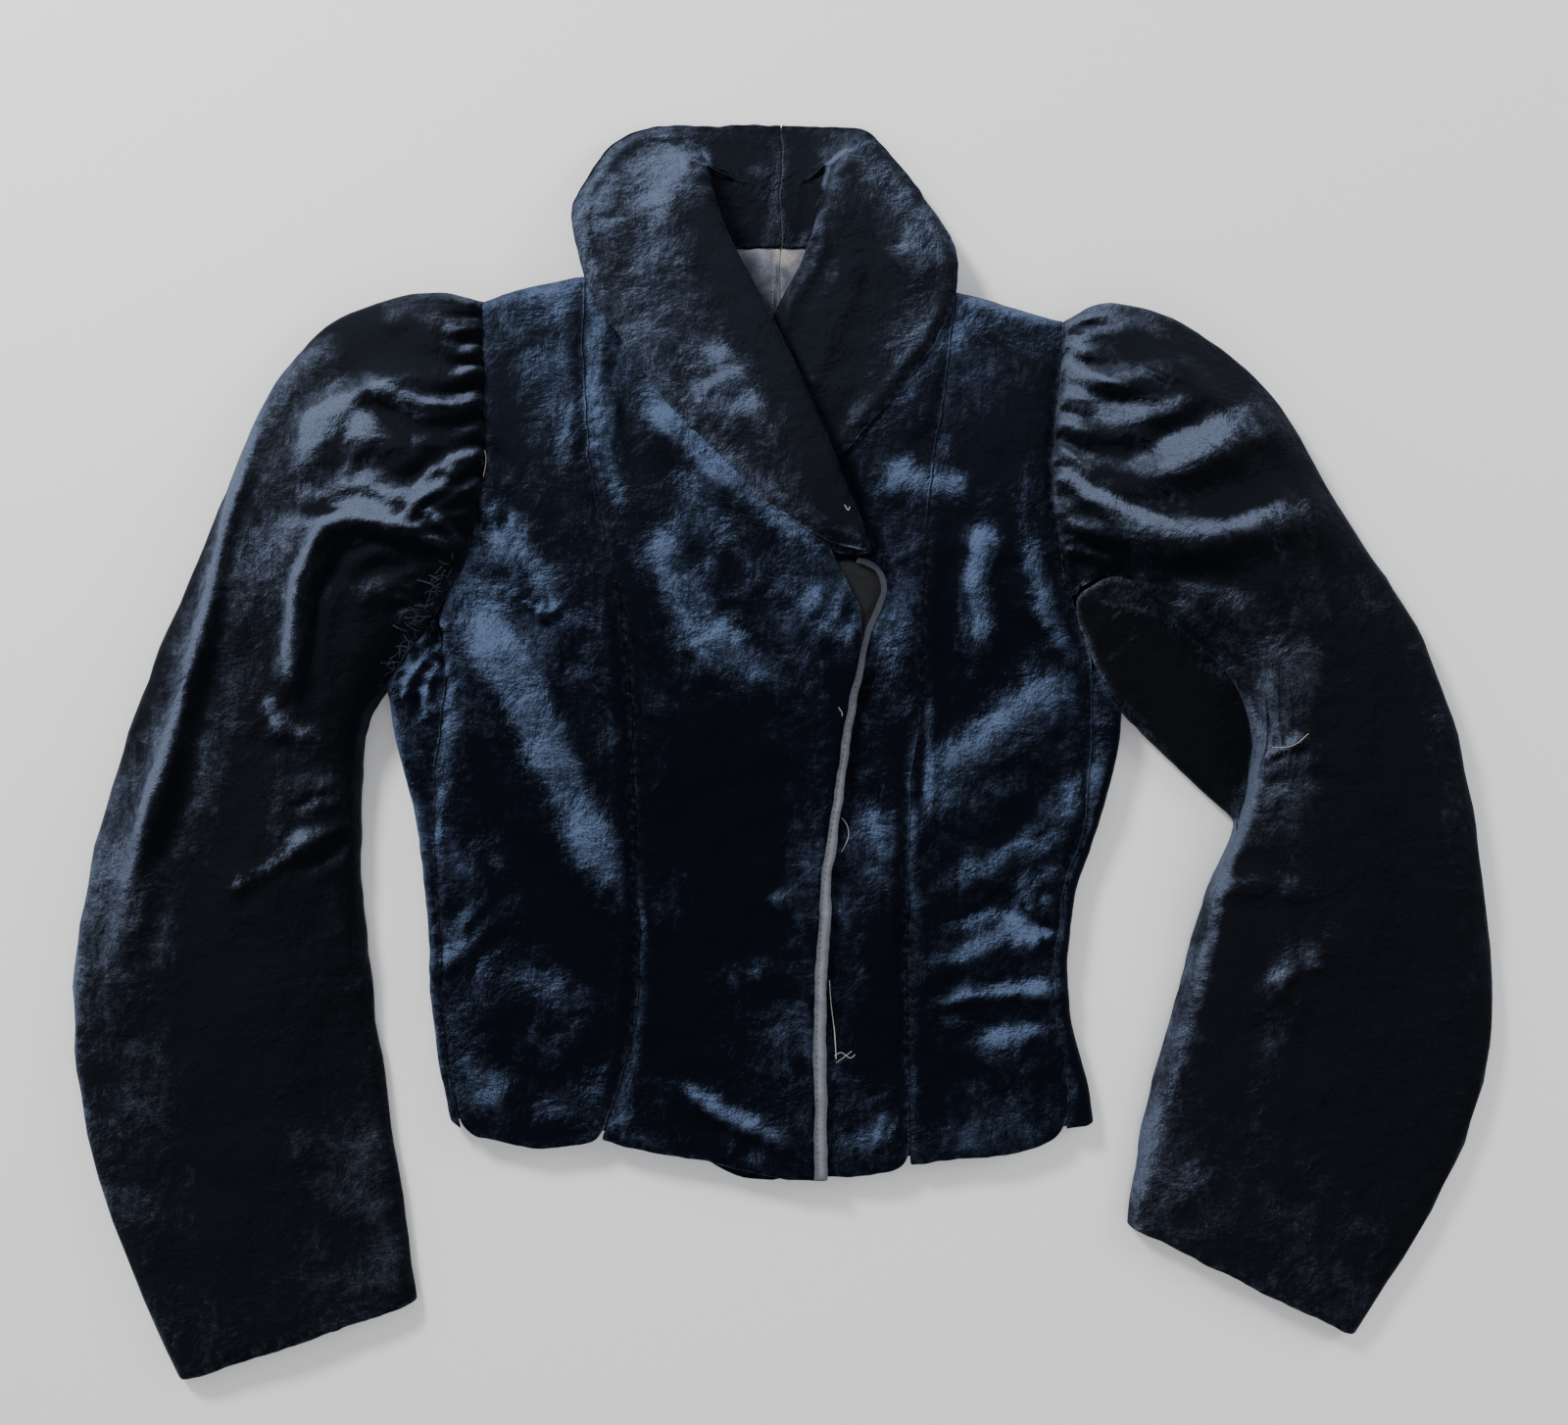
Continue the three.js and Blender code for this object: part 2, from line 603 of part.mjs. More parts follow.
// Top face of the left front, which sinks below the right one
function lowerFace(x, y) {
  const { drop, edge, reach } = lapAt(y);
  return bodyTop(x, y) - drop * (1 - ease(edge + reach - 25, edge + reach + 25, x));
}

function parameterOf(points) {
  const sums = [0];
  for (let index = 1; index < points.length; index += 1) {
    sums.push(sums[index - 1] + points[index].distanceTo(points[index - 1]));
  }
  return sums.map((sum) => sum / sums[sums.length - 1]);
}

// Rows of points in plan between four edges that meet at the corners
function patch(first, last, bottom, top) {
  const rowShares = parameterOf(first);
  const columnShares = parameterOf(bottom);
  return rowShares.map((v, row) => columnShares.map((u, column) => {
    const point = new THREE.Vector3();
    point.addScaledVector(bottom[column], 1 - v);
    point.addScaledVector(top[column], v);
    point.addScaledVector(first[row], 1 - u);
    point.addScaledVector(last[row], u);
    point.addScaledVector(bottom[0], -(1 - u) * (1 - v));
    point.addScaledVector(bottom[bottom.length - 1], -u * (1 - v));
    point.addScaledVector(top[0], -(1 - u) * v);
    point.addScaledVector(top[top.length - 1], -u * v);
    return point;
  }));
}

// Point of a row at a share of its columns
function onRow(row, share) {
  const place = clamp(share, 0, 1) * (row.length - 1);
  const index = Math.min(row.length - 2, Math.floor(place));
  return row[index].clone().lerp(row[index + 1], place - index);
}

// Direction of the outer face at a point of the rows
function faceNormal(rows, rowIndex, column, side) {
  const row = rows[rowIndex];
  const share = column / (row.length - 1);
  const across = row[Math.min(row.length - 1, column + 1)].clone();
  across.sub(row[Math.max(0, column - 1)]);
  const along = onRow(rows[Math.min(rows.length - 1, rowIndex + 1)], share);
  along.sub(onRow(rows[Math.max(0, rowIndex - 1)], share));
  return across.cross(along).normalize().multiplyScalar(side);
}

// Triangles of one face: rows of equal length, or a row and one with half its steps
function faceTriangles(rows, starts) {
  const triangles = [];
  for (let row = 0; row < rows.length - 1; row += 1) {
    const steps = rows[row].length - 1;
    const nextSteps = rows[row + 1].length - 1;
    const a = starts[row];
    const b = starts[row + 1];
    if (steps === nextSteps) {
      for (let step = 0; step < steps; step += 1) {
        const down = rows[row][step].distanceTo(rows[row + 1][step + 1]);
        const up = rows[row][step + 1].distanceTo(rows[row + 1][step]);
        if (down < up) {
          triangles.push([a + step, a + step + 1, b + step + 1]);
          triangles.push([a + step, b + step + 1, b + step]);
        } else {
          triangles.push([a + step, a + step + 1, b + step]);
          triangles.push([a + step + 1, b + step + 1, b + step]);
        }
      }
    } else {
      for (let step = 0; step < nextSteps; step += 1) {
        triangles.push([a + 2 * step, a + 2 * step + 1, b + step]);
        triangles.push([a + 2 * step + 1, b + step + 1, b + step]);
        triangles.push([a + 2 * step + 1, a + 2 * step + 2, b + step + 1]);
      }
    }
  }
  return triangles;
}

// Corners of the rows' outline, once round
function outline(rows, starts) {
  const last = rows.length - 1;
  const loop = [];
  for (let step = 0; step < rows[0].length; step += 1) {
    loop.push(starts[0] + step);
  }
  for (let row = 1; row < last; row += 1) {
    loop.push(starts[row] + rows[row].length - 1);
  }
  for (let step = rows[last].length - 1; step >= 0; step -= 1) {
    loop.push(starts[last] + step);
  }
  for (let row = last - 1; row > 0; row -= 1) {
    loop.push(starts[row]);
  }
  return loop;
}

// A closed wall of cloth: its outer face runs through the rows and its inner face lies the
// cloth's thickness behind it. A side of 1 or -1 says which way the outer face looks, and
// a rim function may set the direction of the wall at an edge.
function wall(name, colour, rows, thickness, side, rim = () => null) {
  const starts = [];
  let count = 0;
  for (const row of rows) {
    starts.push(count);
    count += row.length;
  }
  const outer = rows.flat();
  const inner = rows.flatMap((row, rowIndex) => row.map((point, column) => {
    const square = faceNormal(rows, rowIndex, column, side);
    const normal = rim(rowIndex, column, row.length, square) || square;
    return point.clone().addScaledVector(normal, -thickness);
  }));
  const face = faceTriangles(rows, starts);
  const triangles = face.map((corners) => (side > 0 ? corners : [...corners].reverse()));
  for (const corners of face) {
    const back = corners.map((corner) => corner + count);
    triangles.push(side > 0 ? back.reverse() : back);
  }
  const loop = outline(rows, starts);
  loop.forEach((corner, index) => {
    const next = loop[(index + 1) % loop.length];
    const pair = [[next, corner, corner + count], [next, corner + count, next + count]];
    for (const corners of pair) {
      triangles.push(side > 0 ? corners : corners.reverse());
    }
  });
  const points = [...outer, ...inner];
  const geometry = new THREE.BufferGeometry();
  const flat = points.flatMap((point) => [point.x, point.y, point.z]);
  geometry.setAttribute('position', new THREE.Float32BufferAttribute(flat, 3));
  geometry.setIndex(triangles.flat());
  geometry.computeVertexNormals();
  const look = { ...COLOURS[colour], metalness: 0 };
  const mesh = new THREE.Mesh(geometry, new THREE.MeshStandardMaterial(look));
  mesh.name = name;
  return mesh;
}

const RADIANS = Math.PI / 180;
const ROLL_COSINES = ROLL_ANGLES.map((angle) => Math.cos(angle * RADIANS));

// Roll of each body row in degrees: 90 where the face is level, less on the shoulder
function rowAngle(row) {
  const level = ROWS_TO_ARMHOLE + ROWS_ON_ARMHOLE;
  return row < level ? 90 : ROLL_ANGLES[row - level];
}

// Shares of a line that runs from the hem to the shoulder at which the body's rows cross it
function fullShares(curve, armholeY) {
  const length = curve.getLength();
  const low = shareAtY(curve, armholeY);
  const high = 1 - SHOULDER_ROLL / length;
  const shares = spread(ROWS_TO_ARMHOLE).map((share) => share * low);
  for (let row = 1; row <= ROWS_ON_ARMHOLE; row += 1) {
    shares.push(mix(low, high, row / ROWS_ON_ARMHOLE));
  }
  ROLL_COSINES.forEach((cosine) => shares.push(1 - SHOULDER_ROLL * (1 - cosine) / length));
  return shares;
}

function fullLine(table, armholeY) {
  const curve = line(table);
  return pointsAt(curve, fullShares(curve, armholeY));
}

// Side seam or side-back seam, and the armhole above it, at the body's rows
function seamAndArmhole(seamTable, armholeTable) {
  const points = pointsAt(line(seamTable), spread(ROWS_TO_ARMHOLE));
  const curve = line(armholeTable);
  const length = curve.getLength();
  const high = 1 - SHOULDER_ROLL / length;
  for (let row = 1; row <= ROWS_ON_ARMHOLE; row += 1) {
    points.push(curve.getPointAt(high * row / ROWS_ON_ARMHOLE));
  }
  for (const cosine of ROLL_COSINES) {
    points.push(curve.getPointAt(1 - SHOULDER_ROLL * (1 - cosine) / length));
  }
  return points;
}

// Moves a line of points in plan to one side, square to its run
function shifted(points, distance) {
  return points.map((point, index) => {
    const run = points[Math.min(points.length - 1, index + 1)].clone();
    run.sub(points[Math.max(0, index - 1)]);
    run.z = 0;
    run.normalize();
    return new THREE.Vector3(point.x - run.y * distance, point.y + run.x * distance, point.z);
  });
}

// Gives a level row its height on the body, and turns the shoulder rows down
function onBody(rows, face) {
  return rows.map((row, rowIndex) => row.map((point) => {
    const rise = Math.sin(rowAngle(rowIndex) * RADIANS);
    const foot = LOWER_ROLL + SEAM;
    const height = foot + (face(point.x, point.y) - foot) * rise;
    return new THREE.Vector3(point.x, point.y, height);
  }));
}

// Direction of a body row's wall at a seam: up, and to the back over the shoulder
function bodyRim(sign) {
  return (rowIndex, column, columns, square) => {
    if (column > 0 && column < columns - 1) {
      return rowAngle(rowIndex) > 0 ? null : levelled(square);
    }
    const angle = rowAngle(rowIndex) * RADIANS;
    return new THREE.Vector3(0, Math.cos(angle), sign * Math.sin(angle));
  };
}

function frontPanel(name, edges, face, columns, side) {
  const shares = spread(columns);
  const bottom = pointsAt(line(edges.hem), shares);
  const top = pointsAt(line(edges.shoulder), shares);
  const plan = patch(edges.outer, edges.inner, bottom, top);
  return wall(name, 'velvet', onBody(plan, face), VELVET, side, bodyRim(1));
}

// A back panel lies on the surface and turns up at the shoulder, not at the neck
function backPanel(name, edges, columns, side) {
  const shares = spread(columns);
  const bottom = pointsAt(line(edges.hem), shares);
  const top = pointsAt(line(edges.shoulder), shares);
  const plan = patch(edges.outer, edges.inner, bottom, top);
  const neck = Math.abs(edges.neckX);
  const turn = (x) => ease(neck - 4, neck + 12, Math.abs(x));
  const rows = plan.map((row, rowIndex) => row.map((point) => {
    const rise = 1 - Math.sin(rowAngle(rowIndex) * RADIANS);
    return new THREE.Vector3(point.x, point.y, LOWER_ROLL * rise * turn(point.x));
  }));
  const rim = (rowIndex, column, count) => {
    if (column > 0 && column < count - 1 && rowIndex < rows.length - 1) {
      return null;
    }
    const angle = mix(90, rowAngle(rowIndex), turn(rows[rowIndex][column].x)) * RADIANS;
    return new THREE.Vector3(0, Math.cos(angle), -Math.sin(angle));
  };
  return wall(name, 'velvet', rows, VELVET, side, rim);
}

// Path across a rolled edge from its top to the surface, as places in from the edge,
// heights and angles
function rollPath(topHeight, width) {
  const path = [];
  for (const angle of [90, 60, 30, 0]) {
    const foot = LOWER_ROLL + SEAM;
    const rise = (topHeight - foot) * Math.sin(angle * RADIANS);
    path.push({ inward: width * (1 - Math.cos(angle * RADIANS)), height: foot + rise, angle });
  }
  for (const angle of [-45, -90]) {
    const turned = angle * RADIANS;
    const inward = LOWER_ROLL * (1 - Math.cos(turned));
    path.push({ inward, height: LOWER_ROLL * (1 + Math.sin(turned)), angle });
  }
  return path;
}

// A side panel: from the front's side seam over the body's rolled side to the back's seam
function sidePanel(name, seams, side) {
  const rows = [];
  const angles = [];
  for (let row = 0; row < ROWS_TO_ARMHOLE; row += 1) {
    const front = seams.front[row];
    const edge = seams.edge[row];
    const back = seams.back[row];
    const topHeight = bodyTop(front.x, front.y);
    const reach = front.distanceTo(edge);
    const width = Math.min(SIDE_ROLL, reach * 0.96);
    const steps = rollPath(topHeight, width);
    const start = front.clone().setZ(topHeight);
    const halfway = edge.clone().setZ(topHeight).lerp(start, 0.5 * (1 + width / reach));
    const points = [start, halfway];
    const turns = [90, 90];
    for (const step of steps.slice(0, 4)) {
      const point = edge.clone().lerp(front, step.inward / reach);
      points.push(point.setZ(step.height));
      turns.push(step.angle);
    }
    for (const step of steps.slice(4)) {
      const point = edge.clone().lerp(back, step.inward / edge.distanceTo(back));
      points.push(point.setZ(step.height));
      turns.push(step.angle);
    }
    const foot = points[points.length - 1];
    for (const share of [0.33, 0.67, 1]) {
      points.push(foot.clone().lerp(back, share).setZ(0));
      turns.push(-90);
    }
    rows.push(points);
    angles.push(turns);
  }
  const rim = (rowIndex, column, columns) => {
    const atArmhole = rowIndex === ROWS_TO_ARMHOLE - 1;
    if (!atArmhole && column > 2 && column < columns - 1) {
      return null;
    }
    const angle = angles[rowIndex][column] * RADIANS;
    return new THREE.Vector3(0, -Math.cos(angle), Math.sin(angle));
  };
  return { mesh: wall(name, 'velvet', rows, VELVET, side, rim), rows, angles };
}

// Length along a line of points at each of them
function lengthsAlong(points) {
  const sums = [0];
  for (let index = 1; index < points.length; index += 1) {
    sums.push(sums[index - 1] + points[index].distanceTo(points[index - 1]));
  }
  return sums;
}

// Place and direction on an armhole's line at a length along it
function onArmhole(armhole, length) {
  const { sums, points, normals } = armhole;
  const place = clamp(length, 0, sums[sums.length - 1]);
  let index = 0;
  while (index < sums.length - 2 && sums[index + 1] < place) {
    index += 1;
  }
  const share = (place - sums[index]) / (sums[index + 1] - sums[index]);
  const point = points[index].clone().lerp(points[index + 1], share);
  const normal = normals[index].clone().lerp(normals[index + 1], share).normalize();
  return { point, normal };
}

// The armhole's upper or lower half, from the underarm to the shoulder, moved off the body
// by the seam's gap. It starts with the side panel's last row and goes on up the body.
function armholeLine(side, bodyEdge, upper, outward) {
  const row = side.rows[ROWS_TO_ARMHOLE - 1];
  const turns = side.angles[ROWS_TO_ARMHOLE - 1];
  const points = [];
  const normals = [];
  row.forEach((point, column) => {
    if (upper ? turns[column] >= 0 : turns[column] <= 0) {
      const angle = turns[column] * RADIANS;
      points.push(point.clone());
      normals.push(new THREE.Vector3(0, -Math.cos(angle), Math.sin(angle)));
    }
  });
  if (upper) {
    points.reverse();
    normals.reverse();
  } else {
    points[0].z = LOWER_ROLL;
  }
  for (let rowIndex = ROWS_TO_ARMHOLE; rowIndex < bodyEdge.length; rowIndex += 1) {
    const angle = rowAngle(rowIndex) * RADIANS;
    points.push(bodyEdge[rowIndex].clone());
    normals.push(new THREE.Vector3(0, Math.cos(angle), (upper ? 1 : -1) * Math.sin(angle)));
  }
  const moved = shifted(points, outward * (upper ? SEAM : SEAM + 0.15));
  return { points: moved, normals, sums: lengthsAlong(moved) };
}

// Levels a wall's direction at the two long edges of a sleeve piece
function levelled(normal) {
  return new THREE.Vector3(normal.x, normal.y, 0).normalize();
}

// Rows of the upper sleeves: many columns at the gathers, half as many from there on
const GATHER_ROWS = [0, 0.012, 0.026, 0.045, 0.07, 0.1, 0.135, 0.17];
const ARM_ROWS = [
  0.205, 0.24, 0.28, 0.32, 0.36, 0.4, 0.445, 0.495, 0.545, 0.6, 0.655, 0.71, 0.77, 0.83,
  0.885, 0.94, 1,
];
const HIGHEST_FOLD = 12;
const GATHER_COLUMNS = 49;
const ARM_COLUMNS = 25;
const ROLL_STEPS = 4;
const UNDER_ROWS = [
  0, 0.03, 0.07, 0.12, 0.17, 0.22, 0.27, 0.31, 0.34, 0.37, 0.4, 0.43, 0.5, 0.58, 0.66, 0.75,
  0.84, 0.92, 1,
];

// Height of the upper face of the left under sleeve where it shows below the fold
function underTop(v) {
  return 12.6 + 7.4 * (1 - ease(0, 0.09, v)) - 7.6 * ease(0.37, 0.43, v);
}

// Edges and heights of a sleeve at a share of its length, with its armhole as the start
function sleeveSection(spec, v) {
  const section = spec.read(v);
  const inner = new THREE.Vector3(section.innerX, section.innerY, 0);
  const outer = new THREE.Vector3(section.outerX, section.outerY, 0);
  let foot = LOWER_ROLL + SEAM;
  if (spec.fold) {
    foot = underTop(v) + SEAM + 0.2;
    const folded = spec.readFold(v);
    inner.lerp(new THREE.Vector3(folded.x, folded.y, 0), 1 - ease(0.33, 0.37, v));
  }
  return { ...section, inner, outer, foot };
}

function upperSleeve(name, spec, side) {
  const { armhole } = spec;
  const total = armhole.sums[armhole.sums.length - 1];
  const begin = spec.fold ? spec.foldLength : 0;
  const rolled = spec.fold ? 12 : armhole.sums[3];
  const ended = total - armhole.sums[armhole.sums.length - 4];
  const alongHole = (place) => {
    if (place < ROLL_STEPS) {
      return begin + rolled * place / ROLL_STEPS;
    }
    const steps = GATHER_COLUMNS - 1;
    if (place > steps - ROLL_STEPS) {
      return total - ended * (steps - place) / ROLL_STEPS;
    }
    const share = (place - ROLL_STEPS) / (steps - 2 * ROLL_STEPS);
    return mix(begin + rolled, total - ended, share);
  };
  const start = sleeveSection(spec, 0);
  const bow = (q) => {
    const { point } = onArmhole(armhole, mix(begin, total, q));
    return point.setZ(0).sub(start.inner.clone().lerp(start.outer, q));
  };
  const steps = GATHER_COLUMNS - 1;
  const rows = [...GATHER_ROWS, ...ARM_ROWS].map((v) => {
    const columns = v <= GATHER_ROWS[GATHER_ROWS.length - 1] ? GATHER_COLUMNS : ARM_COLUMNS;
    const section = sleeveSection(spec, v);
    const width = section.inner.distanceTo(section.outer);
    const near = 1 - ease(0, 0.45, v);
    return spread(columns).map((share) => {
      const place = share * steps;
      if (v === 0) {
        return onArmhole(armhole, alongHole(place)).point;
      }
      const fromInner = Math.min(place, ROLL_STEPS) / ROLL_STEPS * 90 * RADIANS;
      const fromOuter = Math.min(steps - place, ROLL_STEPS) / ROLL_STEPS * 90 * RADIANS;
      const middle = clamp((place - ROLL_STEPS) / (steps - 2 * ROLL_STEPS), 0, 1);
      const edgeShare = section.wide / width;
      let q = mix(edgeShare, 1 - edgeShare, middle);
      const domed = 1 - Math.abs(2 * middle - 1) ** 2.4;
      let height = mix(section.roll, section.high, domed);
      if (place < ROLL_STEPS) {
        q = edgeShare * (1 - Math.cos(fromInner));
        height = mix(section.foot, section.roll, Math.sin(fromInner));
      } else if (place > steps - ROLL_STEPS) {
        q = 1 - edgeShare * (1 - Math.cos(fromOuter));
        height = mix(LOWER_ROLL + SEAM, section.roll, Math.sin(fromOuter));
      }
      const point = section.inner.clone().lerp(section.outer, q);
      point.addScaledVector(bow(q), near);
      const inside = Math.min(q, 1 - q) * width;
      const open = ease(0, section.wide * 1.5, inside);
      const drawn = 0.35 + 0.65 * ease(0, 0.02, v);
      const gathered = folds(spec.gathers, point.x, point.y) * drawn;
      const added = gathered + folds(spec.bends, point.x, point.y);
      point.z = height + HIGHEST_FOLD * Math.tanh(added / HIGHEST_FOLD) * open;
      return point;
    });
  });
  const rim = (rowIndex, column, columns, normal) => {
    if (rowIndex === 0) {
      return onArmhole(armhole, alongHole(column)).normal;
    }
    return column === 0 || column === columns - 1 ? levelled(normal) : null;
  };
  return wall(name, 'velvet', rows, VELVET, side, rim);
}

// Path of the under sleeve from the outer edge over the surface to the inner edge, and on
// the left sleeve back over itself to below the upper sleeve's fold
function underSleeve(name, spec, side) {
  const { lowHole } = spec;
  const total = lowHole.sums[lowHole.sums.length - 1];
  const holeStart = lowHole.points[0].clone().setZ(0);
  const holeEnd = lowHole.points[lowHole.points.length - 1].clone().setZ(0);
  const curl = [0, 45, 90].map((angle) => angle * RADIANS);
  const rows = [];
  const normals = [];
  for (const v of UNDER_ROWS) {
    const base = spec.read(v);
    const inner = new THREE.Vector3(base.innerX, base.innerY, 0);
    const outer = new THREE.Vector3(base.outerX, base.outerY, 0);
    const width = inner.distanceTo(outer);
    const near = 1 - ease(0, 0.45, v);
    const place = (q, height) => {
      const hole = onArmhole(lowHole, total * q);
      if (v === 0) {
        normals.push(hole.normal);
        return hole.point;
      }
      hole.point.setZ(0).sub(holeStart.clone().lerp(holeEnd, q));
      return inner.clone().lerp(outer, q).addScaledVector(hole.point, near).setZ(height);
    };
    const points = [];
    for (const angle of curl) {
      const inward = LOWER_ROLL * (1 - Math.cos(angle));
      points.push(place(1 - inward / width, LOWER_ROLL * (1 - Math.sin(angle))));
    }
    for (const share of [0.22, 0.45, 0.7]) {
      points.push(place(1 - share, 0));
    }
    if (spec.fold) {
      points.push(...foldedBack(spec, v, inner, outer, normals));
    } else {
      points.push(place(0.12, 0));
      for (const angle of [...curl].reverse()) {
        const inward = LOWER_ROLL * (1 - Math.cos(angle));
        points.push(place(inward / width, LOWER_ROLL * (1 - Math.sin(angle))));
      }
    }
    rows.push(points);
  }
  const rim = (rowIndex, column, columns, normal) => {
    if (rowIndex === 0) {
      return normals[column];
    }
    if (rows[rowIndex][column].z < 0.01) {
      return DOWN;
    }
    return column === 0 || (!spec.fold && column === columns - 1) ? levelled(normal) : null;
  };
  return wall(name, 'under', rows, VELVET, side, rim);
}

// The left under sleeve's turn round its inner edge and the layer that lies on it
const TURN_STEPS = 6;
const BACK_STEPS = 5;
const BELOW_FOLD = 9;

// How far the under sleeve reaches in below the fold, which starts flush at the armhole
function belowFold(v) {
  return mix(-3, BELOW_FOLD, ease(0.02, 0.11, v));
}

function foldedBack(spec, v, inner, outer, normals) {
  const points = [];
  const steps = TURN_STEPS + BACK_STEPS;
  if (v === 0) {
    const start = 9;
    const turn = start + spec.armhole.sums[3];
    const back = spec.foldLength + belowFold(0) + start - turn;
    for (let step = 0; step <= steps; step += 1) {
      const turned = Math.min(step, TURN_STEPS) / TURN_STEPS;
      const length = turn * turned + back * Math.max(0, step - TURN_STEPS) / BACK_STEPS;
      const low = length < start;
      const hole = low ? spec.lowHole : spec.armhole;
      const { point, normal } = onArmhole(hole, low ? start - length : length - start);
      points.push(point);
      normals.push(normal);
    }
    return points;
  }
  const fold = spec.readFold(v);
  const radius = mix(underTop(v) / 2, LOWER_ROLL, ease(0.37, 0.43, v));
  const turn = Math.acos(clamp(1 - underTop(v) / radius, -1, 1));
  const open = 1 - ease(0.31, 0.37, v);
  const toFold = new THREE.Vector3(fold.x, fold.y, 0).sub(inner);
  const reach = toFold.length() + belowFold(v) - radius;
  const across = outer.clone().sub(inner).normalize();
  const run = toFold.normalize().lerp(across, 1 - open).normalize();
  const back = Math.max(0, reach) * open;
  const total = radius * turn + back;
  for (let step = 0; step <= steps; step += 1) {
    const turned = Math.min(step, TURN_STEPS) / TURN_STEPS;
    const apart = radius * turn * turned + back * Math.max(0, step - TURN_STEPS) / BACK_STEPS;
    const length = mix(total * step / steps, apart, open);
    const angle = Math.min(length / radius, turn);
    const inward = radius * (1 - Math.sin(angle)) + Math.max(0, length - radius * turn);
    const point = inner.clone().addScaledVector(run, inward);
    points.push(point.setZ(radius * (1 - Math.cos(angle))));
  }
  return points;
}

// Moves a place to the given gap beside a line of points in plan
function beside(x, y, points, gap) {
  let best = null;
  for (let index = 1; index < points.length; index += 1) {
    const from = points[index - 1];
    const run = points[index].clone().sub(from).setZ(0);
    const share = ((x - from.x) * run.x + (y - from.y) * run.y) / run.lengthSq();
    const foot = from.clone().setZ(0).addScaledVector(run, clamp(share, 0, 1));
    const away = new THREE.Vector3(x, y, 0).sub(foot);
    if (!best || away.length() < best.away.length()) {
      best = { foot, away };
    }
  }
  return best.foot.addScaledVector(best.away.normalize(), gap);
}

const COLLAR_ROWS = 26;
const COLLAR_PLACES = [0, 0.6, 1.2, 1.8, 2.2, 2.6, 3, 3.4, 3.8, 4.3, 4.9, 5.45, 6];

// Half of the shawl collar: a band from the neck seam over its roll to the free edge
function collarHalf(name, spec, side) {
  const read = reader(spec.sections);
  const rows = spread(COLLAR_ROWS).map((at) => {
    const section = read(at);
    const seam = section.on > 0.5 ? spec.frontNeck : spec.backNeck;
    const neck = section.on > 0.5 || section.on < 0.01
      ? beside(section.ax, section.ay, seam, SEAM + 0.25)
      : new THREE.Vector3(section.ax, section.ay, 0);
    const roll = new THREE.Vector3(section.bx, section.by, 0);
    const edge = new THREE.Vector3(section.cx, section.cy, 0);
    const radius = Math.max(3, (section.high - section.low) / 2);
    const toNeck = neck.clone().sub(roll);
    const toEdge = edge.clone().sub(roll);
    const near = clamp(radius / toNeck.length(), 0, 0.45);
    const far = clamp(radius / toEdge.length(), 0, 0.45);
    const place = (point, value) => point.setZ(value);
    const control = [
      place(neck.clone(), section.a),
      place(neck.clone().lerp(roll, 0.5), mix(section.a, section.low, 0.6)),
      place(roll.clone().addScaledVector(toNeck, near), section.low),
      place(roll.clone(), (section.low + section.high) / 2),
      place(roll.clone().addScaledVector(toEdge, far), section.high),
      place(roll.clone().lerp(edge, 0.55), mix(section.high, section.c, 0.62)),
      place(edge.clone(), section.c),
    ];
    const curve = new THREE.CatmullRomCurve3(control, false, 'catmullrom', 0.5);
    return COLLAR_PLACES.map((part) => {
      const point = curve.getPoint(part / 6);
      point.z += section.on * spec.face(point.x, point.y);
      return point;
    });
  });
  const rim = (rowIndex, column, columns, normal) => {
    if (rowIndex === 0) {
      return new THREE.Vector3(0, normal.y, normal.z).normalize();
    }
    return null;
  };
  return wall(name, 'velvet', rows, VELVET, side, rim);
}

// The tape, made from the right front's face and moved out, with its corner hanging free
function edgeTape() {
  const read = reader(TAPE_LINE);
  const count = 34;
  const centres = spread(count).map((at) => {
    const { x, y } = read(at);
    return new THREE.Vector3(x, y, 0);
  });
  const rows = spread(count).map((at, index) => {
    const { free, wide } = read(at);
    const run = centres[Math.min(count - 1, index + 1)].clone();
    run.sub(centres[Math.max(0, index - 1)]).normalize();
    return [-0.5, 0, 0.5].map((share) => {
      const x = centres[index].x + run.y * wide * share;
      const y = centres[index].y - run.x * wide * share;
      const onVelvet = upperFace(x, y) + SEAM + TAPE;
      const onFacing = bodyTop(x, y) + 1.2;
      return new THREE.Vector3(x, y, mix(onVelvet, onFacing, free));
    });
  });
  return wall('edge_tape', 'tape', rows, TAPE, 1, () => UP);
}

function frontFacing() {
  const read = reader(FACING_LINE);
  const rows = spread(8).map((at) => {
    const { y, inner, outer } = read(at);
    return spread(5).map((share) => {
      const x = mix(inner, outer, share);
      return new THREE.Vector3(x, y, bodyTop(x, y) - 0.9);
    });
  });
  return wall('front_right_facing', 'facing', rows, LINING, 1, () => UP);
}

function neckLining(name, column, sign) {
  const read = reader(NECK_LINING);
  const rows = spread(6).map((at) => {
    const values = read(at);
    return spread(4).map((share) => {
      const x = sign * mix(SEAM / 2, values[column], share);
      return new THREE.Vector3(x, values.y - 0.3 - 0.0007 * x * x, VELVET + SEAM + LINING);
    });
  });
  return wall(name, 'lining', rows, LINING, sign, () => UP);
}

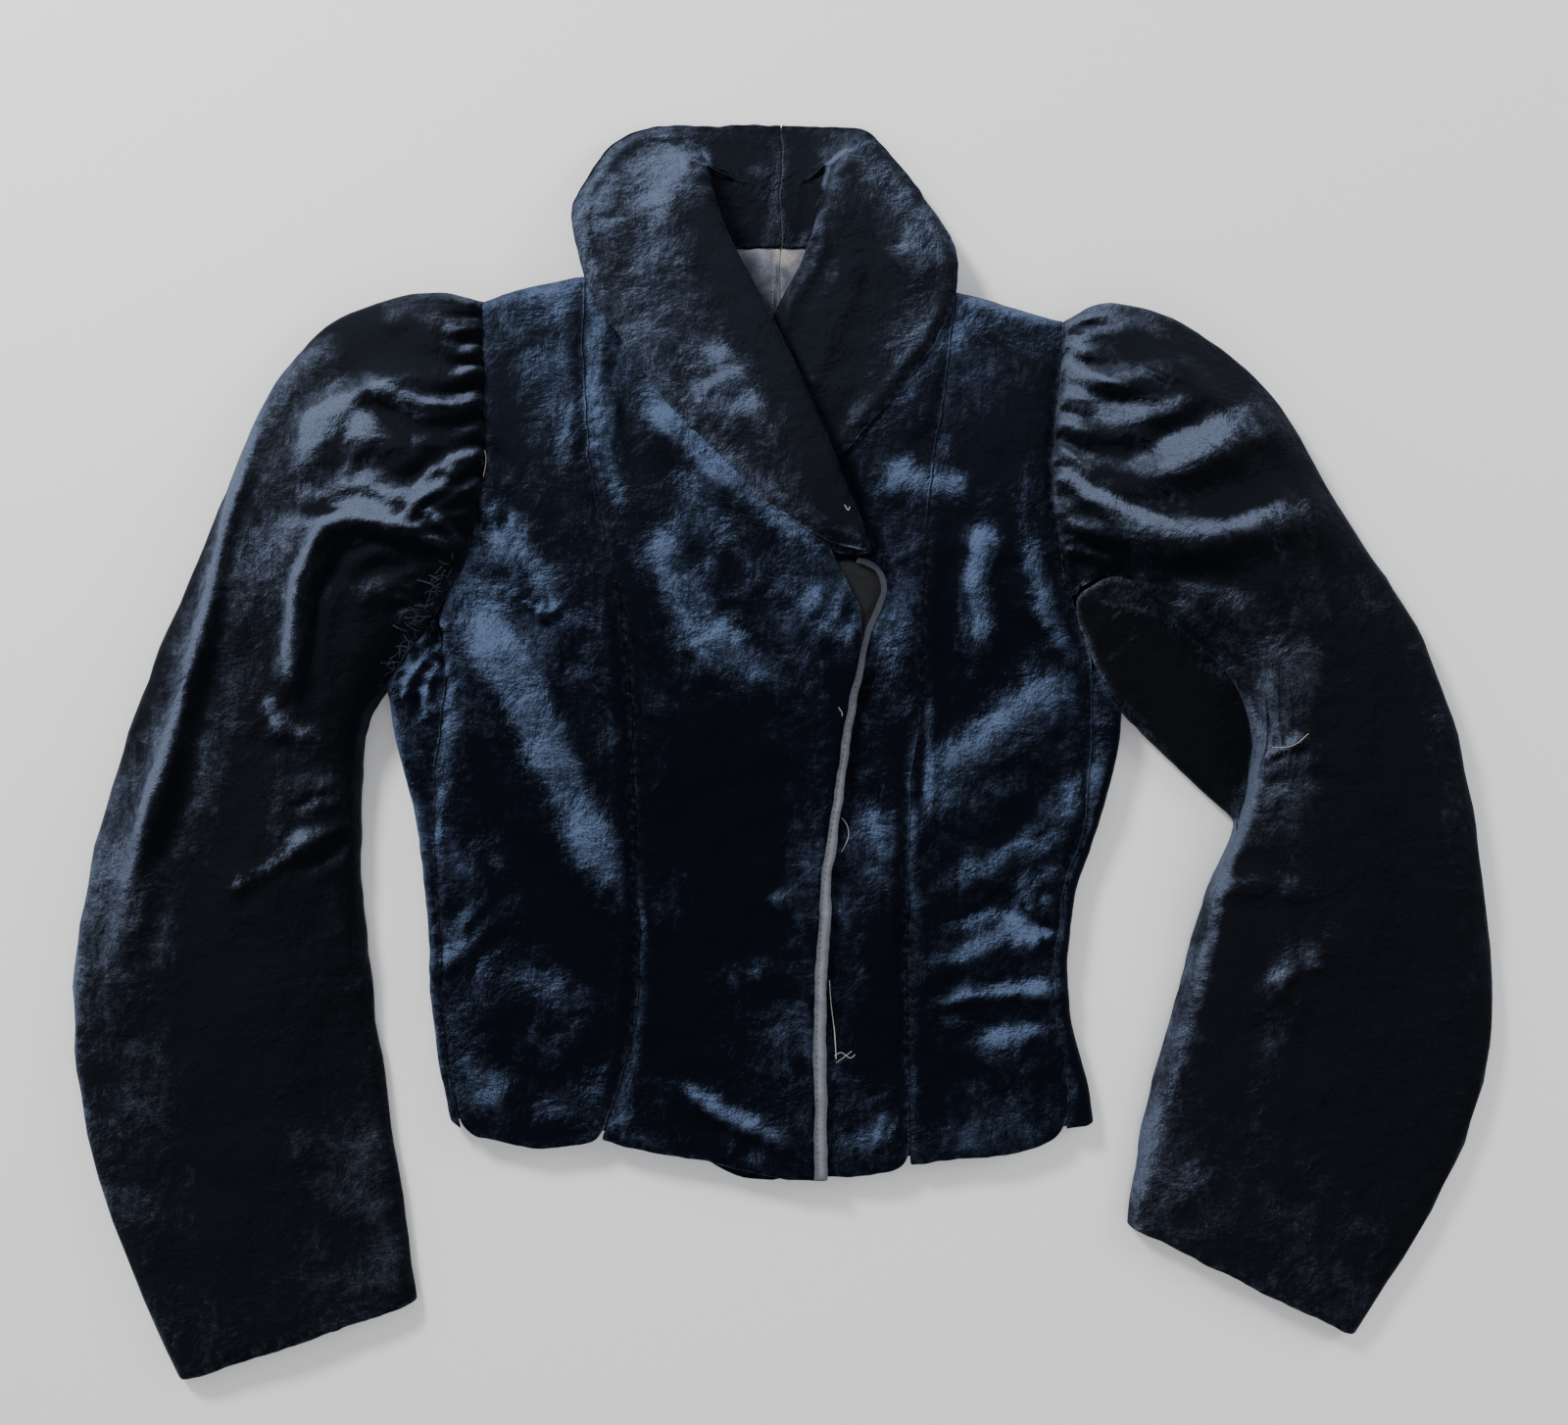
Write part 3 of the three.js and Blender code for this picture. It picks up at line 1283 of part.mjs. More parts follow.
// One half of the body: the seams' lines are shared by the pieces on both sides of them
function bodyHalf(spec) {
  const { sign } = spec;
  const armholeY = spec.armhole[0].y;
  const sideSeam = seamAndArmhole(spec.sideSeam, spec.armhole);
  const frontSeam = fullLine(spec.frontSeam, armholeY);
  const frontEdge = fullLine(spec.frontEdge, armholeY);
  const backHole = spec.armhole.filter(({ y }) => y >= spec.sideBack[4].y - 2);
  backHole[0] = spec.sideBack[4];
  const backSeam = seamAndArmhole(spec.sideBack, backHole);
  const centre = fullLine(CENTRE_BACK, armholeY);
  const half = sign * SEAM / 2;
  const lower = (points) => points.slice(0, ROWS_TO_ARMHOLE);
  const side = sidePanel(`side_${spec.name}`, {
    front: lower(shifted(sideSeam, half)),
    edge: pointsAt(line(spec.sideEdge), spread(ROWS_TO_ARMHOLE)),
    back: lower(shifted(backSeam, half)),
  }, -sign);
  const outerEdge = [...shifted(sideSeam, -half).slice(0, ROWS_TO_ARMHOLE)];
  outerEdge.push(...sideSeam.slice(ROWS_TO_ARMHOLE));
  const frontSide = frontPanel(`front_${spec.name}_side`, {
    outer: outerEdge,
    inner: shifted(frontSeam, half),
    hem: spec.hemSide,
    shoulder: spec.shoulderSide,
  }, spec.face, 9, sign);
  const frontCentre = frontPanel(`front_${spec.name}_centre`, {
    outer: shifted(frontSeam, -half),
    inner: frontEdge,
    hem: spec.hemCentre,
    shoulder: spec.shoulderCentre,
  }, spec.face, 10, sign);
  const backOuter = [...shifted(backSeam, -half).slice(0, ROWS_TO_ARMHOLE)];
  backOuter.push(...backSeam.slice(ROWS_TO_ARMHOLE));
  const back = backPanel(`back_${spec.name}`, {
    outer: backOuter,
    inner: shifted(centre, half),
    hem: spec.hemBack,
    shoulder: spec.shoulderBack,
    neckX: spec.neckX,
  }, 7, -sign);
  const high = onBody(sideSeam.map((point) => [point]), spec.face).map(([point]) => point);
  const low = backSeam.map((point, row) => {
    const rise = 1 - Math.sin(rowAngle(row) * RADIANS);
    return point.clone().setZ(LOWER_ROLL * rise);
  });
  return {
    meshes: [side.mesh, frontSide, frontCentre, back],
    armhole: armholeLine(side, high, true, sign),
    lowHole: armholeLine(side, low, false, sign),
    frontNeck: frontEdge.slice(ROWS_TO_ARMHOLE),
    backNeck: pointsAt(line(spec.shoulderBack), spread(25)),
  };
}

function lengthNear(armhole, x, y) {
  let best = 0;
  let least = Infinity;
  for (let length = 0; length < armhole.sums[armhole.sums.length - 1]; length += 0.5) {
    const { point } = onArmhole(armhole, length);
    const away = Math.hypot(point.x - x, point.y - y);
    if (point.z > 12 && away < least) {
      least = away;
      best = length;
    }
  }
  return best;
}

function jacket() {
  const right = bodyHalf({
    name: 'right',
    sign: 1,
    face: upperFace,
    sideSeam: SIDE_SEAM_RIGHT,
    sideEdge: SIDE_EDGE_RIGHT,
    sideBack: SIDE_BACK_RIGHT,
    armhole: ARMHOLE_RIGHT,
    frontSeam: FRONT_SEAM_RIGHT,
    frontEdge: FRONT_EDGE_RIGHT,
    hemSide: HEM_SIDE_RIGHT,
    hemCentre: HEM_CENTRE_RIGHT,
    hemBack: HEM_BACK_RIGHT,
    shoulderSide: SHOULDER_SIDE_RIGHT,
    shoulderCentre: SHOULDER_CENTRE_RIGHT,
    shoulderBack: SHOULDER_BACK_RIGHT,
    neckX: -56,
  });
  const left = bodyHalf({
    name: 'left',
    sign: -1,
    face: lowerFace,
    sideSeam: SIDE_SEAM_LEFT,
    sideEdge: SIDE_EDGE_LEFT,
    sideBack: SIDE_BACK_LEFT,
    armhole: ARMHOLE_LEFT,
    frontSeam: FRONT_SEAM_LEFT,
    frontEdge: FRONT_EDGE_LEFT,
    hemSide: HEM_SIDE_LEFT,
    hemCentre: HEM_CENTRE_LEFT,
    hemBack: HEM_BACK_LEFT,
    shoulderSide: SHOULDER_SIDE_LEFT,
    shoulderCentre: SHOULDER_CENTRE_LEFT,
    shoulderBack: SHOULDER_BACK_LEFT,
    neckX: 42,
  });
  const rightSleeve = {
    read: reader(SLEEVE_RIGHT),
    armhole: right.armhole,
    lowHole: right.lowHole,
    gathers: GATHERS_RIGHT,
    bends: FOLDS_RIGHT,
    fold: false,
  };
  const leftSleeve = {
    read: reader(SLEEVE_LEFT),
    readFold: reader(SLEEVE_LEFT_FOLD),
    armhole: left.armhole,
    lowHole: left.lowHole,
    gathers: GATHERS_LEFT,
    bends: FOLDS_LEFT,
    fold: true,
    foldLength: lengthNear(left.armhole, SLEEVE_LEFT_FOLD[0].x, SLEEVE_LEFT_FOLD[0].y),
  };
  return [
    ...right.meshes,
    ...left.meshes,
    upperSleeve('sleeve_right_upper', rightSleeve, 1),
    underSleeve('sleeve_right_under', rightSleeve, 1),
    upperSleeve('sleeve_left_upper', leftSleeve, -1),
    underSleeve('sleeve_left_under', leftSleeve, -1),
    collarHalf('collar_right', {
      sections: COLLAR_RIGHT,
      face: upperFace,
      frontNeck: right.frontNeck,
      backNeck: right.backNeck,
    }, 1),
    collarHalf('collar_left', {
      sections: COLLAR_LEFT,
      face: lowerFace,
      frontNeck: left.frontNeck,
      backNeck: left.backNeck,
    }, -1),
    edgeTape(),
    frontFacing(),
    neckLining('back_lining_right', 'right', -1),
    neckLining('back_lining_left', 'left', 1),
  ];
}

// The middle of the outline lies over the origin
const model = new THREE.Group();
model.name = 'velvet_jacket';
jacket().forEach((mesh) => model.add(mesh));
const middle = new THREE.Box3().setFromObject(model).getCenter(new THREE.Vector3());
model.children.forEach((mesh) => mesh.geometry.translate(-middle.x, -middle.y, 0));

export default model;
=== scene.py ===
# A velvet jacket laid flat: thin cloth on each solid's form, in metres, X to the picture's right, Z up
import math
import random

import bmesh
import bpy
import numpy as np
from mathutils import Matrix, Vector, noise
from mathutils.bvhtree import BVHTree
from mathutils.kdtree import KDTree


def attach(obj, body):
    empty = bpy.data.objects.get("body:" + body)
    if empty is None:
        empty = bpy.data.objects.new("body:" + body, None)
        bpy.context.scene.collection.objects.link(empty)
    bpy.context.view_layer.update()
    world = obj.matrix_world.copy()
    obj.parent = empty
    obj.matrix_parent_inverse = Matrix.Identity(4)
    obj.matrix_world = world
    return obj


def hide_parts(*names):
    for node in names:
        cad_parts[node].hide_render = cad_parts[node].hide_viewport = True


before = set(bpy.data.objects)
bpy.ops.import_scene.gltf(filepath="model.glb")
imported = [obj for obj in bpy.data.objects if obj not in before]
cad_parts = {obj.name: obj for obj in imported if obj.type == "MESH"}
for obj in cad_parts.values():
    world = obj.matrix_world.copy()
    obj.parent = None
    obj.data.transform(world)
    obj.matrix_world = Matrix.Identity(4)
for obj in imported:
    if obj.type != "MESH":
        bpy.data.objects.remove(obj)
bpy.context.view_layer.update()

MM = 0.001
CAMERA_AT = (0.0006, 0.0231, 1.05)
PICTURE_WIDTH = 0.928

# Soft ridges (height over 0) and troughs (under 0): name, layer, line of points, width and height, all in mm
CREASES = [
    ("shoulder_pucker_right", "body", [(-113, 264), (-115, 210), (-114, 173), (-100, 154)], 5, -2.2),
    ("shoulder_ridge_right", "body", [(-103, 259), (-105, 203), (-98, 166)], 8, 2.2),
    ("armhole_drag_right", "body", [(-173, 154), (-160, 123), (-129, 74), (-108, 43)], 12, 2.4),
    ("front_sweep_right", "body", [(-185, 98), (-154, 43), (-117, -32), (-86, -90)], 17, 3.4),
    ("front_sweep_trough_right", "body", [(-154, 98), (-117, 43), (-92, -13)], 12, -2.6),
    ("front_hollow_right", "body", [(-197, -1), (-166, -44), (-129, -100)], 14, -2.4),
    ("waist_nick_right_high", "body", [(-209, -103), (-191, -95), (-173, -80)], 4, -2.0),
    ("waist_nick_right_low", "body", [(-205, -128), (-185, -115), (-166, -100), (-154, -95)], 5, 2.2),
    ("waist_swell_right", "body", [(-197, -149), (-142, -143), (-98, -165)], 18, 2.2),
    ("hip_hollow_right", "body", [(-185, -180), (-142, -192), (-105, -186)], 12, -1.8),
    ("lap_sweep", "body", [(-89, 215), (-43, 173), (7, 129), (32, 108)], 12, 3.0),
    ("lap_hollow", "body", [(-79, 179), (-37, 129), (1, 89)], 10, -2.4),
    ("centre_ridge", "body", [(-72, 132), (-61, 98), (-43, 67), (-2, 40)], 13, 3.0),
    ("centre_hollow", "body", [(-37, 12), (-18, -32), (7, -81)], 22, -2.6),
    ("corner_fold", "body", [(10, 98), (28, 83), (45, 66)], 5, 2.6),
    ("corner_hollow", "body", [(18, 67), (32, 49), (41, 18)], 7, -1.8),
    ("lap_ripple_high", "body", [(-30, -86), (-2, -87), (25, -81)], 6, 1.6),
    ("lap_ripple_low", "body", [(-37, -131), (-12, -128), (19, -137)], 7, 1.5),
    ("hem_crease", "body", [(-61, -192), (-37, -211), (1, -227)], 6, 2.6),
    ("hem_crease_hollow", "body", [(-55, -212), (-30, -226), (1, -237)], 6, -1.8),
    ("shoulder_ridge_left", "body", [(112, 241), (75, 210), (56, 173)], 16, 2.2),
    ("chest_ridge_left", "body", [(55, 166), (81, 154), (112, 148)], 9, 2.2),
    ("chest_fold_left", "body", [(121, 139), (112, 98), (117, 49)], 9, 2.8),
    ("chest_hollow_left", "body", [(96, 123), (90, 74), (96, 30)], 9, -2.4),
    ("armhole_drag_left", "body", [(146, 123), (152, 80), (174, 43)], 8, 2.6),
    ("front_sweep_left", "body", [(174, 46), (137, 18), (96, -13), (81, -44)], 15, 3.2),
    ("front_hollow_left", "body", [(180, -1), (143, -32), (100, -63)], 10, -2.4),
    ("waist_drag_left_one", "body", [(171, -50), (131, -59), (96, -81)], 8, 2.6),
    ("waist_drag_left_two", "body", [(169, -106), (146, -100), (127, -89), (93, -100)], 5, -2.6),
    ("waist_drag_left_three", "body", [(163, -115), (131, -112), (87, -128), (76, -140)], 7, 2.8),
    ("waist_drag_left_four", "body", [(166, -140), (137, -140), (109, -142), (81, -150)], 4, 3.0),
    ("waist_drag_left_five", "body", [(168, -157), (131, -158), (93, -168)], 7, -2.2),
    ("hip_swell_left", "body", [(168, -180), (131, -186), (87, -205)], 14, 2.4),
    ("side_left_tuck", "body", [(183, 18), (180, -25), (173, -75)], 6, -2.0),
    ("dart_left_high", "body", [(82, 44), (81, -1), (80, -41)], 3, -2.4),
    ("dart_left_low", "body", [(70, 12), (72, -50), (71, -131), (72, -233)], 4, -2.2),
    ("dart_left_swell", "body", [(59, 12), (61, -63), (58, -149)], 9, 1.8),
    ("dart_right", "body", [(-92, 123), (-90, 49), (-87, -38), (-85, -112), (-90, -174), (-98, -226)], 4, -2.4),
    ("dart_right_swell", "body", [(-79, 98), (-76, 12), (-74, -75)], 9, 1.6),
    ("underarm_crush_one", "body", [(-225, 74), (-210, 80), (-191, 70)], 4, 2.4),
    ("underarm_crush_two", "body", [(-228, 49), (-207, 58), (-192, 43)], 4, -2.2),
    ("underarm_crush_three", "body", [(-223, 33), (-209, 36), (-196, 18)], 4, 2.0),
    ("underarm_crush_four", "body", [(-154, 89), (-136, 80), (-124, 89)], 3, 1.8),
    ("armhole_tuck_right_one", "body", [(-178, 179), (-166, 173), (-154, 154)], 4, -1.8),
    ("armhole_tuck_right_two", "body", [(-179, 148), (-168, 135), (-160, 111)], 5, 1.8),
    ("big_fold_right", "sleeve", [(-281, 40), (-276, 96), (-258, 130), (-241, 134), (-182, 119)], 5, 6.5),
    ("big_fold_hollow_right", "sleeve", [(-270, 36), (-267, 83), (-253, 116), (-228, 121), (-188, 108)], 5, -4.5),
    ("curl_right", "sleeve", [(-273, 169), (-265, 190), (-247, 197), (-228, 177)], 9, 4.1),
    ("curl_hollow_right", "sleeve", [(-259, 154), (-250, 166), (-233, 159)], 8, -3.0),
    ("long_ridge_right", "sleeve", [(-301, 212), (-317, 148), (-333, 69), (-352, -1), (-371, -58), (-389, -122)], 6, 4.3),
    ("long_hollow_right", "sleeve", [(-312, 123), (-326, 49), (-346, -25), (-364, -87)], 9, -2.4),
    ("head_ridge_right", "sleeve", [(-287, 213), (-259, 241), (-216, 253), (-185, 244)], 12, 2.4),
    ("head_fold_right", "sleeve", [(-241, 210), (-216, 200), (-194, 191)], 6, 3.2),
    ("mid_fold_right", "sleeve", [(-247, 157), (-219, 142), (-191, 148)], 6, 3.0),
    ("elbow_fold_right", "sleeve", [(-298, 35), (-287, 15), (-267, 4)], 6, 3.5),
    ("elbow_crease_right_one", "sleeve", [(-283, -32), (-270, -27), (-258, -25)], 3, -2.2),
    ("elbow_crease_right_two", "sleeve", [(-323, -81), (-299, -69), (-270, -50), (-253, -43)], 4, 3.2),
    ("elbow_crease_right_three", "sleeve", [(-278, -69), (-262, -59), (-250, -47)], 4, -2.7),
    ("arm_patch_right", "sleeve", [(-377, -112), (-369, -87), (-364, -69)], 6, 3.0),
    ("forearm_swell_right", "sleeve", [(-309, -112), (-296, -174), (-278, -254)], 22, 2.4),
    ("forearm_hollow_right", "sleeve", [(-364, -143), (-355, -205), (-340, -285)], 18, -2.2),
    ("cuff_ripple_right_one", "sleeve", [(-259, -93), (-250, -112), (-246, -149)], 5, 2.4),
    ("cuff_ripple_right_two", "sleeve", [(-389, -267), (-358, -285), (-321, -282)], 10, 1.9),
    ("first_fold_left", "sleeve", [(186, 128), (236, 119), (267, 129), (283, 137), (312, 137)], 9, 4.3),
    ("first_hollow_left", "sleeve", [(183, 104), (223, 98), (267, 108), (298, 114)], 10, -2.7),
    ("second_fold_left", "sleeve", [(209, 156), (236, 168), (260, 182), (283, 189)], 10, 4.1),
    ("second_hollow_left", "sleeve", [(192, 160), (217, 179), (248, 197)], 8, -3.2),
    ("head_fold_left", "sleeve", [(166, 213), (183, 197), (211, 191), (252, 202)], 7, 3.2),
    ("head_ridge_left", "sleeve", [(183, 247), (217, 241), (254, 222)], 12, 2.2),
    ("lower_fold_left", "sleeve", [(174, 148), (205, 123), (236, 80), (260, 49)], 6, 3.2),
    ("inner_edge_left", "sleeve", [(251, 54), (270, 30), (277, -1)], 5, 2.7),
    ("nick_left", "sleeve", [(277, -2), (288, 2), (301, 10)], 2.5, 2.7),
    ("elbow_crease_left_one", "sleeve", [(276, -20), (294, -16), (317, -12)], 5, -2.2),
    ("elbow_crease_left_two", "sleeve", [(248, -81), (273, -75), (304, -81)], 6, 2.4),
    ("forearm_crease_left", "sleeve", [(279, -140), (294, -124), (317, -115)], 6, 3.0),
    ("forearm_hollow_left", "sleeve", [(248, -168), (285, -165), (328, -174)], 14, -2.2),
    ("outer_swell_left", "sleeve", [(359, 98), (384, 12), (397, -81), (384, -174)], 16, 2.4),
    ("outer_hollow_left", "sleeve", [(319, 98), (341, 24), (359, -63), (359, -149)], 16, -2.4),
    ("cuff_ripple_left", "sleeve", [(217, -248), (254, -261), (298, -291)], 12, 2.0),
    ("collar_roll_right", "collar", [(-92, 346), (-110, 309), (-92, 259)], 12, 1.6),
    ("collar_dimple_right_one", "collar", [(-67, 241), (-49, 210), (-30, 185)], 8, -1.8),
    ("collar_dimple_right_two", "collar", [(-43, 234), (-21, 210), (-9, 179)], 7, 1.8),
    ("collar_swell_right", "collar", [(-77, 327), (-67, 296), (-55, 265)], 14, 1.6),
    ("collar_swell_left", "collar", [(62, 327), (81, 296), (75, 253)], 14, 1.6),
    ("collar_dimple_left", "collar", [(32, 241), (44, 210), (25, 179)], 9, -1.6),
    ("collar_stand_tuck_one", "collar", [(-17, 336), (-15, 312), (-17, 298)], 3, -1.4),
    ("collar_stand_tuck_two", "collar", [(8, 340), (7, 315), (9, 298)], 3, -1.4),
    ("back_fold_high", "back", [(-117, 259), (-6, 241), (112, 259)], 14, 1.1),
    ("back_fold_waist_right", "back", [(-197, -112), (-142, -100), (-80, -118)], 7, 1.2),
    ("back_fold_waist_middle", "back", [(-80, -87), (-18, -100), (50, -90)], 8, 1.1),
    ("back_fold_waist_left", "back", [(62, -112), (112, -100), (165, -115)], 7, 1.2),
    ("back_fold_long_right", "back", [(-117, 154), (-126, 61), (-117, -50)], 10, 1.1),
    ("back_fold_long_left", "back", [(93, 160), (109, 67), (96, -44)], 11, 1.1),
    ("back_fold_hem", "back", [(-67, -205), (-12, -192), (56, -211)], 10, 1.0),
    ("lining_pleat_one", "lining", [(-19, 283), (-12, 268), (-4, 259)], 3, 0.9),
    ("lining_pleat_two", "lining", [(8, 283), (4, 270), (-1, 256)], 3, 0.8),
    ("lining_pleat_three", "lining", [(-13, 285), (-2, 279), (7, 283)], 3, 0.7),
    ("right_y_arm", "sleeve", [(-218, 126), (-208, 140), (-194, 152), (-177, 174)], 3.4, 4.0),
    ("right_y_loop", "sleeve", [(-183, 120), (-190, 129), (-199, 136), (-208, 136)], 3.2, 3.2),
    ("right_y_hollow", "sleeve", [(-191, 122), (-202, 125), (-214, 119)], 3.0, -2.6),
    ("right_y_hollow_high", "sleeve", [(-217, 149), (-205, 161), (-191, 177)], 4.5, -2.8),
]

# Gathers of the sleeve heads, from the armhole out: line of points, width and height, all in mm
GATHERS = [
    ([(-178, 260), (-192, 262), (-215, 268)], 3, 1.6),
    ([(-176, 246), (-188, 242), (-199, 238)], 2.6, 2.6),
    ([(-175, 233), (-187, 228), (-197, 232)], 3, 2.0),
    ([(-174, 221), (-184, 218), (-194, 212)], 3.4, 3.2),
    ([(-173, 203), (-191, 197), (-211, 199), (-225, 208), (-241, 211)], 4.6, 4.0),
    ([(-173, 187), (-184, 184), (-191, 191)], 3.0, 2.0),
    ([(-173, 171), (-189, 168), (-207, 154), (-231, 144), (-246, 154)], 4.4, 4.2),
    ([(-175, 154), (-185, 148), (-194, 137)], 3.2, 3.4),
    ([(-178, 137), (-188, 135), (-199, 140)], 2.8, 2.2),
    ([(-181, 121), (-191, 118), (-207, 123)], 3.4, 2.6),
    ([(-185, 106), (-196, 95), (-204, 79)], 3.2, 2.6),
    ([(-177, 253), (-187, 252), (-199, 253)], 2.0, -2.0),
    ([(-175, 239), (-185, 236), (-194, 234)], 2.2, -2.8),
    ([(-174, 226), (-184, 224), (-196, 221)], 2.2, -2.2),
    ([(-174, 212), (-185, 208), (-200, 204), (-216, 205)], 3.0, -3.2),
    ([(-173, 195), (-185, 190), (-200, 190)], 3.4, -3.6),
    ([(-173, 179), (-186, 176), (-199, 179)], 3.0, -2.6),
    ([(-174, 162), (-188, 156), (-200, 147)], 3.2, -3.8),
    ([(-176, 145), (-186, 140), (-197, 132)], 2.4, -2.4),
    ([(-179, 128), (-191, 126), (-205, 130)], 3.0, -3.0),
    ([(164, 248), (176, 250), (191, 254)], 2.6, 1.8),
    ([(164, 236), (174, 231), (182, 225)], 2.6, 3.0),
    ([(164, 223), (176, 215), (190, 207), (217, 200), (248, 205)], 4.4, 4.2),
    ([(163, 206), (173, 199), (181, 190)], 3.2, 2.6),
    ([(162, 190), (178, 181), (199, 176)], 3.8, 3.4),
    ([(161, 175), (171, 166), (184, 153)], 3.0, 2.4),
    ([(160, 158), (176, 145), (196, 135), (217, 132)], 4.2, 3.8),
    ([(161, 138), (175, 127), (186, 113)], 3.2, 3.0),
    ([(166, 117), (184, 111), (208, 106)], 3.4, 2.6),
    ([(164, 242), (174, 240), (184, 239)], 2.2, -2.6),
    ([(164, 229), (174, 223), (184, 216)], 2.4, -2.2),
    ([(163, 214), (174, 207), (192, 197)], 3.0, -3.4),
    ([(162, 198), (174, 190), (187, 185)], 2.6, -2.4),
    ([(161, 182), (174, 173), (190, 166)], 3.4, -3.4),
    ([(160, 166), (173, 156), (187, 143)], 2.8, -2.6),
    ([(161, 148), (175, 137), (191, 124)], 3.4, -3.6),
    ([(164, 127), (178, 119), (194, 112)], 2.6, -2.4),
]

# Where the cloth is finely crumpled: name, layer, middle, half width and length, height and wave, all in mm
CRUSHED = [
    ("right_underarm", "body", (-207, 49), (16, 30), 2.8, 9),
    ("right_side", "body", (-200, -32), (8, 30), 1.1, 12),
    ("right_seam_tear", "body", (-137, 83), (11, 9), 1.2, 8),
    ("right_waist", "body", (-191, -112), (16, 24), 0.8, 14),
    ("left_underarm", "body", (177, 74), (9, 27), 1.4, 10),
    ("left_waist", "body", (146, -100), (18, 37), 0.9, 15),
    ("left_hem", "body", (59, -211), (9, 16), 1.4, 9),
    ("right_hem", "body", (-92, -220), (9, 11), 1.0, 9),
    ("shoulder", "body", (-112, 185), (13, 28), 1.0, 10),
    ("corner", "body", (32, 80), (14, 14), 1.0, 12),
    ("collar_fall", "collar", (-37, 203), (21, 23), 1.0, 13),
    ("collar_top", "collar", (-67, 321), (18, 21), 0.6, 16),
    ("collar_other", "collar", (62, 290), (14, 24), 0.6, 16),
    ("right_armpit", "sleeve", (-209, 81), (14, 29), 2.4, 9),
    ("left_armpit", "sleeve", (186, 98), (18, 11), 1.2, 12),
    ("right_head", "sleeve", (-216, 173), (30, 43), 0.8, 20),
    ("right_elbow", "sleeve", (-278, -44), (21, 27), 0.6, 14),
    ("left_elbow", "sleeve", (291, -13), (18, 18), 0.6, 14),
]

